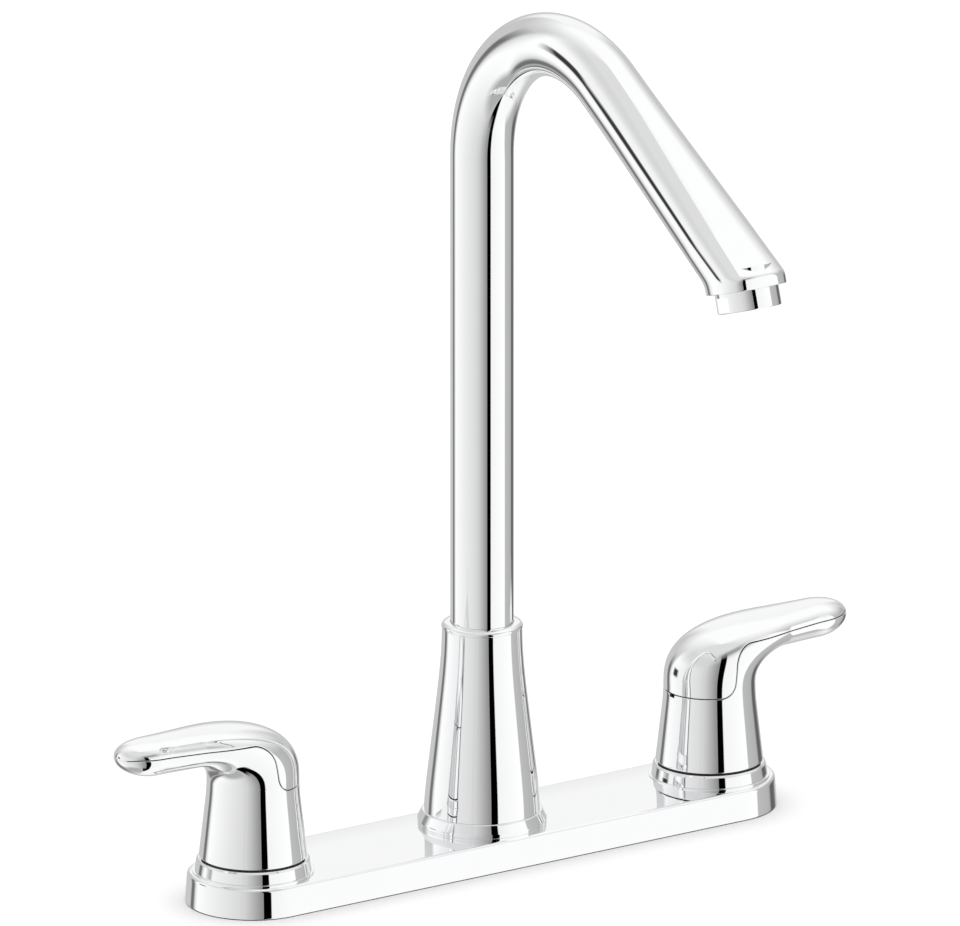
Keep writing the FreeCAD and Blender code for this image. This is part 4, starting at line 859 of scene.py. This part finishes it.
# ---------------------------------------------------------------------------------------------
# Handles
# ---------------------------------------------------------------------------------------------
@dataclass
class LeverHandle:
    """Handle with a round skirt, an elbow and a flat lever, split by a seam into a body and a cap.

    Its own frame has the valve's axis upright, the lever along +X and the lower edge at zero. A
    station runs along the form: 0 to 1 up the skirt, 1 to 2 round the elbow, 2 to 3 along the lever
    and 3 to 4 over the tip. A turn runs round it, from 0 at the back and top to pi under the lever.
    """

    side: Side
    half_spacing: float = 101.6
    level: float = 17.5
    base_radius: float = 19.8
    neck_radius: float = 16.9
    elbow_height: float = 29.7
    elbow_reach: float = 28.0
    elbow_rise: float = 23.1
    inner_rise: float = 9.2
    fullness: float = 2.6
    half_width: float = 12.4
    tip_half_width: float = 10.6
    length: float = 59.6
    tip_length: float = 14.0
    tip_level: float = 46.9
    wall: float = 1.8
    seam_back: float = 27.7
    seam_start: float = -0.6
    seam_end: float = 2.0
    seam_lever: float = 46.3
    seam_tip: float = 47.5
    seam_run_in: float = 6.0
    seam_tip_back: float = 4.5
    seam_tip_round: float = 8.0
    low_round: float = 6.0
    high_round: float = 9.0
    gap: float = 0.3
    edge_round: float = 0.25
    base_round: float = 0.4
    notch_half_width: float = 1.6
    notch_height: float = 1.1

    def ring(self, station: np.ndarray) -> dict:
        """Section of the form at a station: its middle, its lean and its two half sizes.

        The skirt narrows in a cone. The elbow's sections turn about its centre, out to a superellipse
        and in to an ellipse about that centre. Over the tip both half sizes fall with a cosine.

        Args:
            station: how far along the form, from 0 to 4.

        Returns:
            Arrays middle_x, middle_z, cosine, sine, half and width.
        """
        skirt, bend = np.clip(station, 0, 1), np.clip(station - 1, 0, 1)
        arm, tip = np.clip(station - 2, 0, 1), np.clip(station - 3, 0, 1) * np.pi / 2
        cosine, sine = np.cos(bend * np.pi / 2), np.sin(bend * np.pi / 2)
        back, front = self.elbow_reach + self.neck_radius, self.elbow_reach - self.neck_radius
        outer = (cosine / back) ** self.fullness + (sine / self.elbow_rise) ** self.fullness
        outer = outer ** (-1 / self.fullness)
        inner = ((cosine / front) ** 2 + (sine / self.inner_rise) ** 2) ** -0.5
        middle = (outer + inner) / 2
        radius = self.neck_radius + (self.base_radius - self.neck_radius) * eased(1 - skirt, 0.3)
        tip_start = self.length - self.tip_length
        lever_level = self.elbow_height + (self.elbow_rise + self.inner_rise) / 2
        width = (radius - (self.neck_radius - self.half_width) * eased(bend, 0.35)
                 - (self.half_width - self.tip_half_width) * (1 - eased(1 - arm, 0.3)))
        return {
            "middle_x": self.elbow_reach - cosine * middle + (tip_start - self.elbow_reach) * arm
            + self.tip_length * np.sin(tip),
            "middle_z": self.elbow_height * skirt + sine * middle
            + (self.tip_level - lever_level) * np.sin(tip) ** 2,
            "cosine": cosine, "sine": sine,
            "half": (outer - inner) / 2 * radius / self.neck_radius * np.cos(tip),
            "width": width * np.cos(tip)}

    def form(self, station: np.ndarray, turn: np.ndarray, inset: float = 0.0) -> np.ndarray:
        """Points of the form, or of its inside a wall further in, at stations and turns."""
        ring = self.ring(station)
        share = 1 - np.minimum(inset, 0.55 * ring["half"]) / np.maximum(ring["half"], 1e-9)
        half, width = ring["half"] * share, ring["width"] - ring["half"] * (1 - share)
        return np.stack([ring["middle_x"] - ring["cosine"] * half * np.cos(turn), -width * np.sin(turn),
                         ring["middle_z"] + ring["sine"] * half * np.cos(turn)], axis=-1)

    def normal(self, station: np.ndarray, turn: np.ndarray) -> np.ndarray:
        """Outward direction of the form, from small steps along and round it."""
        step = 1e-4
        along = self.form(station + step, turn) - self.form(station - step, turn)
        around_it = self.form(station, turn + step) - self.form(station, turn - step)
        out = np.cross(around_it, along)
        return out / np.linalg.norm(out, axis=-1, keepdims=True)

    def seam(self, shift: float) -> tuple:
        """The seam on the form, moved by shift towards the cap or, if negative, towards the body.

        In the side view it runs level round the back, turns up the skirt and turns again along the
        lever to the tip. Each point's station and turn follow from where it lies in that view.

        Args:
            shift: distance from the middle of the gap.

        Returns:
            Stations and turns along the seam, and the number of points before the low corner's middle.
        """
        # Corners as (along X, upward, rounding) in the side view
        path = rounded([
            (-self.neck_radius - self.seam_run_in, self.seam_back, 0),
            (self.seam_start, self.seam_back, self.low_round), (self.seam_end, self.seam_lever, self.high_round),
            (self.length - self.seam_tip_back, self.seam_tip, self.seam_tip_round),
            (self.length, self.tip_level, 0)], closed=False, steps=24)
        path = evenly(path, 0.2)
        ahead = np.gradient(path, axis=0)
        ahead /= np.linalg.norm(ahead, axis=1, keepdims=True)
        place = path + shift * np.stack([-ahead[:, 1], ahead[:, 0]], axis=1)
        x, z = place[:, 0], place[:, 1]
        tip_start = self.length - self.tip_length
        elbow = 1 + np.arctan2(z - self.elbow_height, self.elbow_reach - x) / (np.pi / 2)
        lever = 2 + (x - self.elbow_reach) / (tip_start - self.elbow_reach)
        tip = 3 + np.arcsin(np.clip((x - tip_start) / self.tip_length, 0, 1)) / (np.pi / 2)
        station = np.where(z < self.elbow_height, z / self.elbow_height,
                           np.where(x < self.elbow_reach, elbow, np.where(x < tip_start, lever, tip)))
        ring = self.ring(station)
        off = (z - ring["middle_z"]) * ring["sine"] - (x - ring["middle_x"]) * ring["cosine"]
        turn = np.arccos(np.clip(off / np.maximum(ring["half"], 1e-6), -1, 1))
        keep = (turn > 0.02) & (station < 3.975)
        steep = ahead[keep, 1] > math.sin(math.radians(45))
        return station[keep], turn[keep], int(np.argmax(steep))

    def rows(self, first: float) -> np.ndarray:
        """Stations of the rings from the seam's low corner to the tip."""
        elbow, lever, tip = np.linspace(1, 2, 61), np.linspace(2, 3, 19), np.linspace(3, 3.9, 23)
        skirt, end = np.linspace(first, 1.0, 8), [3.93, 3.952, 3.968]
        return np.concatenate([skirt, elbow[1:], lever[1:], tip[1:], end])

    def rim(self, station: np.ndarray, turn: np.ndarray, towards: int) -> np.ndarray:
        """Rows that roll a shell's edge into the gap and lead back to its inside.

        From the edge point, a quarter circle of the edge's radius turns from the surface's outward
        direction to the direction across the gap; a straight wall then goes in by the shell's wall.

        Args:
            station: stations of the closed edge loop.
            turn: turns of that loop.
            towards: 1 for the cap, -1 for the body.

        Returns:
            Rows by columns of points.
        """
        edge = self.form(station, turn)
        inside = self.form(station, turn, self.wall)
        out = self.normal(station, turn)
        ahead = np.roll(edge, -1, axis=0) - np.roll(edge, 1, axis=0)
        across = towards * np.cross(ahead, out)
        across /= np.linalg.norm(across, axis=1, keepdims=True)
        roll = np.linspace(0, np.pi / 2, 6)[:, None, None]
        curl = edge + self.edge_round * (np.sin(roll) * across - (1 - np.cos(roll)) * out)
        wall = inside + self.edge_round * across
        return np.concatenate([curl, wall[None], inside[None]])

    def cap(self) -> Skin:
        """The cap: a shell over the back, the elbow's outside and the lever's top."""
        station, turn, corner = self.seam(self.gap / 2 + self.edge_round)
        rows = self.rows(station[corner])
        edge_turn = np.interp(rows, station[corner:], turn[corner:])
        share = np.sin(np.linspace(-1, 1, 65) * np.pi / 2 * 0.8) / math.sin(math.pi / 2 * 0.8)
        turns = share[None, :] * edge_turn[:, None]
        low = np.interp(np.abs(turns[0]), turn[:corner + 1], station[:corner + 1])
        fade = np.clip(1 - (rows - rows[0]) / 0.3, 0, 1)[:, None]
        stations = rows[:, None] - fade * (rows[0] - low)[None, :]
        skin = Skin().grid(self.form(stations, turns), wrap=False)
        skin.grid(self.form(stations, turns, self.wall), wrap=False, flip=True)
        loop = self.loop(stations, turns)
        return skin.grid(self.rim(*loop, 1), flip=True)

    def loop(self, stations: np.ndarray, turns: np.ndarray) -> tuple:
        """The edge of a grid: along its first row, up its last column, back along its last row and down."""
        return tuple(np.concatenate([grid[0, :-1], grid[:-1, -1], grid[-1, :0:-1], grid[:0:-1, 0]])
                     for grid in (stations, turns))

    def body(self) -> Skin:
        """The body: a shell with the whole skirt, the elbow's inside and the lever's underside."""
        station, turn, corner = self.seam(-self.gap / 2 - self.edge_round)
        rows = self.rows(station[corner])
        edge_turn = np.interp(rows, station[corner:], turn[corner:])
        notch = self.notch_half_width / self.neck_radius
        back = np.unique(np.concatenate([np.linspace(-1, 1, 61) * edge_turn[0],
                                         [-notch - 0.006, -notch, notch, notch + 0.006]]))
        low = np.interp(np.abs(back), turn[:corner + 1], station[:corner + 1])
        low = low - np.where(np.abs(back) < notch + 0.001, self.notch_height / self.elbow_height, 0)
        under = (1 - np.cos(np.linspace(0, np.pi, 65))) / 2 * 0.5 + np.linspace(0, 1, 65) * 0.5
        front = edge_turn[:, None] + (2 * np.pi - 2 * edge_turn[:, None]) * under[None, :]
        ring = np.concatenate([back, front[0, 1:-1]])
        rim_station = np.concatenate([low, np.full(63, rows[0])])
        foot = self.base_round / self.elbow_height
        climb = np.concatenate([[0, 0.01, 0.05], np.linspace(0.12, 0.9, 9), [0.96, 0.99, 1]])[:, None]
        skirt = foot + (rim_station - foot) * climb
        stations = rows[:, None] + 0 * front
        skin = Skin()
        for inset, flip in ((0.0, False), (self.wall, True)):
            skin.grid(self.form(skirt, ring + 0 * skirt, inset), flip=flip)
            skin.grid(self.form(stations, front, inset), wrap=False, flip=flip)
        # Edge loop: round the back, up one side of the lever, round the tip and down the other side
        loop = tuple(np.concatenate([first, grid[1:-1, 0], grid[-1], grid[-2:0:-1, -1] - turn_back])
                     for first, grid, turn_back in ((low, stations, 0.0), (back, front, 2 * np.pi)))
        skin.grid(self.rim(*loop, -1))
        foot_rows = self.foot_rows(foot, ring)
        return skin.grid(foot_rows)

    def foot_rows(self, foot: float, ring: np.ndarray) -> np.ndarray:
        """Rows from the skirt's inside, across its lower edge and up its rounding to the outside."""
        inner = self.form(foot + 0 * ring, ring, self.wall)
        outer = self.form(foot + 0 * ring, ring)
        flat = inner * LEVEL
        away = outer * LEVEL
        away /= np.linalg.norm(away, axis=1, keepdims=True)
        roll = np.linspace(0, np.pi / 2, 7)[:, None, None]
        curl = outer * LEVEL + self.base_round * ((np.sin(roll) - 1) * away + (1 - np.cos(roll)) * UP)
        return np.concatenate([inner[None], flat[None], curl])

    def build(self, paints: Paints) -> None:
        """Makes the body and the cap on their valve's axis, the hot one turned half round.

        Args:
            paints: the materials.
        """
        sign, side = self.side.sign, self.side.value
        place = Axes((sign * self.half_spacing, 0, self.level), x=(sign, 0, 0), y=(0, sign, 0))
        for name, skin in (("body", self.body()), ("cap", self.cap())):
            skin.points = [place.carry(points) for points in skin.points]
            skin.piece(f"lever_{name}_{side}", f"{side}_handle", paints["chrome"], "chrome",
                       (f"handle_{name}_{side}",))


# ---------------------------------------------------------------------------------------------
# Below the deck
# ---------------------------------------------------------------------------------------------
@dataclass
class ThreadedShank:
    """Brass valve body: threaded shank below the deck, flange and neck in the plate."""

    side: Side
    half_spacing: float = 101.6
    radius: float = 10.3
    length: float = 58.0
    supply_length: float = 20.0
    relief: float = 1.5
    relief_depth: float = 0.7
    bore: float = 4.5
    pitch: float = 1.8
    thread_depth: float = 0.75
    flange: float = 15.0
    flange_floor: float = 2.6
    flange_top: float = 9.3
    neck: float = 11.6
    neck_top: float = 24.0
    pocket: float = 9.15
    pocket_floor: float = 1.1
    taper: float = 0.7
    taper_length: float = 0.8
    lower_runout: float = 1.2
    upper_runout: float = 1.5
    plain_top: float = 1.0

    def build(self, paints: Paints) -> None:
        """Makes the valve body; the thread's radius falls and rises evenly with (height - lead) / pitch.

        Args:
            paints: the materials.
        """
        start, end = -self.length, self.flange_floor
        turn = around(72)[None, :]
        height = np.linspace(start, end, 440)[:, None]
        phase = (height / self.pitch - turn / (2 * np.pi)) % 1.0
        cut = self.thread_depth * (1 - np.clip(np.abs(phase - 0.5) * 2.6 - 0.15, 0, 1))
        relief_floor = start + self.supply_length
        in_relief = (height > relief_floor) & (height < relief_floor + self.relief)
        runout = np.clip((height - start) / self.lower_runout, 0, 1)
        runout = runout * np.clip((-self.plain_top - height) / self.upper_runout, 0, 1)
        taper = self.taper * (1 - np.clip((height - start) / self.taper_length, 0, 1))
        radius = self.radius - taper - np.where(in_relief, self.relief_depth, cut * runout)
        thread = np.stack([radius * np.cos(turn), radius * np.sin(turn), height + 0 * turn], axis=-1)
        pocket_floor = self.flange_top + self.pocket_floor
        top = turned(rounded([
            (self.radius, end, 0), (self.flange, end, 0.4), (self.flange, self.flange_top, 0.4),
            (self.neck, self.flange_top, 0), (self.neck, self.neck_top, 0.3),
            (self.pocket, self.neck_top, 0.2), (self.pocket, pocket_floor, 0),
            (self.bore, pocket_floor, 0), (self.bore, start, 0.3),
            (self.radius - self.taper, start, 0)], closed=False), 72)
        place = Axes((self.side.sign * self.half_spacing, 0, 0))
        skin = Skin().grid(place.carry(thread)).grid(place.carry(top))
        skin.piece(f"inlet_shank_{self.side.value}", "base", paints["brass"], "brass",
                   (f"valve_body_{self.side.value}",))


def dress_cad_nodes(paints: Paints) -> None:
    """Gives every CAD node that is still shown the procedural material of its slot.

    Args:
        paints: the materials.
    """
    slots = {part["node"]: part["material_slot"] for part in frame["record"]["subparts"]}
    for name, node in frame["nodes"].items():
        if node.hide_render:
            continue
        paint = paints[slots[name]]
        node.data.materials.clear()
        node.data.materials.append(paint)
        log.info("%s: dressed in %s", name, paint.name)


# ---------------------------------------------------------------------------------------------
# Studio
# ---------------------------------------------------------------------------------------------
@dataclass(frozen=True)
class Panel:
    """One part of the room that gloss mirrors, placed by direction in degrees.

    The azimuth counts from the camera's side, rising to the picture's right; the elevation from level.
    """

    name: str
    azimuth: float
    half_span: float
    low: float
    high: float
    left_tone: float
    right_tone: float
    soft: float = 4.0
    soft_rise: float = 6.0

    def over(self, graph: Graph, azimuth: bpy.types.NodeSocket, elevation: bpy.types.NodeSocket,
             room: bpy.types.NodeSocket) -> bpy.types.NodeSocket:
        """Lays the panel over the room: its tone runs evenly from left to right, its edges are softened.

        Args:
            graph: the world's node graph.
            azimuth: azimuth of the ray.
            elevation: elevation of the ray.
            room: tone of what lies behind.

        Returns:
            Tone of the room with this panel.
        """
        away = graph.maths("WRAP", graph.maths("SUBTRACT", azimuth, self.azimuth), 180.0, -180.0)
        across = graph.between(graph.maths("ABSOLUTE", away), self.half_span + self.soft / 2,
                               self.half_span - self.soft / 2)
        above = graph.between(elevation, self.low - self.soft_rise / 2, self.low + self.soft_rise / 2)
        below = graph.between(elevation, self.high + self.soft_rise / 2, self.high - self.soft_rise / 2)
        mask = graph.maths("MULTIPLY", across, graph.maths("MULTIPLY", above, below))
        tone = graph.node("ShaderNodeMapRange", {"label": self.name}, Value=away,
                          From_Min=-self.half_span, From_Max=self.half_span,
                          To_Min=self.left_tone, To_Max=self.right_tone).outputs[0]
        change = graph.maths("MULTIPLY", mask, graph.maths("SUBTRACT", tone, room))
        return graph.maths("ADD", room, change)


# The room's bare walls, then its panels from the farthest to the nearest: name, azimuth, half span,
# low and high elevation, tones at the left and right edges, and softness across and upwards
ROOM_TONE = 0.58
ROOM = (
    Panel("right_wall", 116.0, 26.0, -95.0, 48.0, 0.52, 0.42, 6.0, 20.0),
    Panel("dark_doorway", 143.0, 13.0, -34.0, -1.0, 0.09, 0.18, 9.0, 10.0),
    Panel("far_shelf", -150.0, 14.0, -56.0, -27.0, 0.25, 0.16, 10.0, 10.0),
    Panel("dark_post", -126.0, 6.0, -70.0, 12.0, 0.14, 0.2, 5.0, 20.0),
    Panel("left_window", -66.0, 49.0, -95.0, 40.0, 1.04, 0.7, 10.0, 30.0),
    Panel("front_screen", 0.5, 17.5, -95.0, 50.0, 0.7, 0.26, 3.0, 30.0),
    Panel("right_window", 61.0, 30.0, -95.0, 42.0, 0.93, 1.04, 2.0, 24.0),
    Panel("ceiling", 0.0, 190.0, 48.0, 130.0, 0.74, 0.74, 4.0, 30.0),
    Panel("back_ceiling", 165.0, 70.0, 34.0, 130.0, 1.02, 1.0, 60.0, 30.0),
    Panel("window_sill", -97.0, 8.0, -4.0, 9.0, 0.04, 0.04, 6.0, 4.0),
    Panel("left_floor", -75.0, 68.0, -95.0, -58.0, 0.42, 0.44, 8.0, 14.0),
    Panel("right_floor", 118.0, 72.0, -95.0, -50.0, 1.0, 0.95, 6.0, 14.0),
    Panel("back_card", 180.0, 17.0, 9.0, 44.0, 0.95, 0.95, 8.0, 14.0),
    Panel("front_flag", 24.8, 6.8, -95.0, 50.0, 0.0, 0.0, 1.2, 14.0),
    Panel("floor_flag", 19.5, 15.0, -95.0, -56.0, 0.0, 0.0, 3.0, 16.0),
    Panel("upper_flag", 42.0, 26.0, 47.0, 56.0, 0.1, 0.2, 24.0, 14.0),
)


@dataclass
class Studio:
    """Pale floor, plain light, a room that gloss mirrors, and the camera at the photograph's angle."""

    azimuth: float = 34.9
    elevation: float = 17.1
    distance: float = 14.0
    target_height: float = 0.150
    lens: float = 1441.125
    shift: tuple = (-0.0021875, -0.0038021)
    sensor: float = 36.0
    clip_end: float = 60.0
    floor_reach: float = 40.0
    floor_tone: float = 0.8
    # The camera-only glow and the short reach of ambient occlusion below paint a contact shadow into the floor's
    # colour next to the plate
    floor_glow: float = 0.3
    painted_shadow_reach: float = 0.012

    def directions(self) -> tuple:
        """Unit directions from the target to the camera and to the picture's right."""
        turn, rise = math.radians(self.azimuth), math.radians(self.elevation)
        back = Vector((-math.sin(turn) * math.cos(rise), -math.cos(turn) * math.cos(rise), math.sin(rise)))
        right = Vector((math.cos(turn), -math.sin(turn), 0.0))
        return back, right

    def camera(self) -> None:
        """Adds the camera and makes it the scene's own."""
        back, right = self.directions()
        data = bpy.data.cameras.new("camera")
        data.lens = self.lens
        data.sensor_width = self.sensor
        data.sensor_fit = "HORIZONTAL"
        data.shift_x, data.shift_y = self.shift
        data.clip_end = self.clip_end
        thing = bpy.data.objects.new("camera", data)
        upward = back.cross(right)
        turn = Matrix((right, upward, back)).transposed().to_4x4()
        place = Vector((0, 0, self.target_height)) + back * self.distance
        thing.matrix_world = Matrix.Translation(place) @ turn
        bpy.context.scene.collection.objects.link(thing)
        bpy.context.scene.camera = thing

    def floor(self) -> None:
        """Adds the floor: pale, with the object's shadow from the light and a painted contact shadow, and clear
        to glossy rays and from below.

        Its camera-only glow is dimmed by ambient occlusion close to the plate, which paints the narrow contact
        shadow into the floor's colour.
        """
        mesh = bpy.data.meshes.new("floor")
        reach = self.floor_reach
        corners = [(-reach, -reach, 0), (reach, -reach, 0), (reach, reach, 0), (-reach, reach, 0)]
        mesh.from_pydata(corners, [], [(0, 1, 2, 3)])
        thing = bpy.data.objects.new("floor", mesh)
        bpy.context.scene.collection.objects.link(thing)
        paint = bpy.data.materials.new("pale_floor")
        paint.use_nodes = True
        graph = Graph(paint.node_tree)
        path = graph.node("ShaderNodeLightPath")
        tone = (self.floor_tone, self.floor_tone, self.floor_tone, 1.0)
        matt = graph.node("ShaderNodeBsdfDiffuse", Color=tone)
        # Painted contact shadow: ambient occlusion within this short reach dims the camera-only glow next to the
        # plate, darkening the floor's colour as if shaded
        contact = graph.node("ShaderNodeAmbientOcclusion", {"samples": 16}, Distance=self.painted_shadow_reach)
        glow_outside_painted_shadow = graph.maths("MULTIPLY", contact.outputs["AO"], self.floor_glow)
        glow = graph.node("ShaderNodeEmission", Color=(1, 1, 1, 1),
                          Strength=graph.maths("MULTIPLY", path.outputs["Is Camera Ray"], glow_outside_painted_shadow))
        both = graph.node("ShaderNodeAddShader", in0=matt.outputs[0], in1=glow.outputs[0])
        clear = graph.node("ShaderNodeBsdfTransparent")
        below = graph.node("ShaderNodeNewGeometry").outputs["Backfacing"]
        through = graph.maths("MAXIMUM", below, path.outputs["Is Glossy Ray"])
        through = graph.maths("MAXIMUM", through, path.outputs["Is Transmission Ray"])
        mixed = graph.node("ShaderNodeMixShader", in0=through, in1=both.outputs[0], in2=clear.outputs[0])
        graph.node("ShaderNodeOutputMaterial", Surface=mixed.outputs[0])
        mesh.materials.append(paint)

    def world(self) -> None:
        """Builds the world: white to the camera and to matt surfaces, and the room of panels to gloss."""
        world = bpy.data.worlds.new("studio")
        world.use_nodes = True
        bpy.context.scene.world = world
        graph = Graph(world.node_tree)
        back, right = self.directions()
        level_back = Vector((back.x, back.y, 0)).normalized()
        place = graph.node("ShaderNodeTexCoord").outputs["Generated"]
        parts = graph.node("ShaderNodeSeparateXYZ", Vector=place)
        ways = [graph.node("ShaderNodeVectorMath", {"operation": "DOT_PRODUCT"}, in0=place, in1=tuple(way))
                for way in (right, level_back)]
        azimuth = graph.maths("ARCTAN2", ways[0].outputs[1], ways[1].outputs[1])
        azimuth = graph.maths("DEGREES", azimuth)
        elevation = graph.maths("DEGREES", graph.maths("ARCSINE", parts.outputs[2]))
        room = graph.node("ShaderNodeValue").outputs[0]
        room.default_value = ROOM_TONE
        for panel in ROOM:
            room = panel.over(graph, azimuth, elevation, room)
        path = graph.node("ShaderNodeLightPath")
        below_white = graph.maths("SUBTRACT", room, 1.0)
        change = graph.maths("MULTIPLY", path.outputs["Is Glossy Ray"], below_white)
        seen = graph.maths("ADD", change, 1.0)
        tone = graph.node("ShaderNodeCombineColor", in0=seen, in1=seen, in2=seen)
        light = graph.node("ShaderNodeBackground", Color=tone.outputs[0], Strength=1.0)
        graph.node("ShaderNodeOutputWorld", Surface=light.outputs[0])

    def build(self) -> None:
        """Sets the view and adds everything that isn't the faucet."""
        bpy.context.scene.view_settings.view_transform = "Standard"
        self.camera()
        self.floor()
        self.world()


def main() -> None:
    """Builds the faucet from the deck up, then the studio."""
    logging.basicConfig(level=logging.INFO, format="%(name)s %(message)s")
    paints = Paints()
    DeckPlate().build(paints)
    SpoutFoot().build(paints)
    Gooseneck().build(paints)
    for side in Side:
        HandleTrim(side).build(paints)
        LeverHandle(side).build(paints)
        ThreadedShank(side).build(paints)
    dress_cad_nodes(paints)
    Studio().build()


if __name__ == "__main__":
    main()
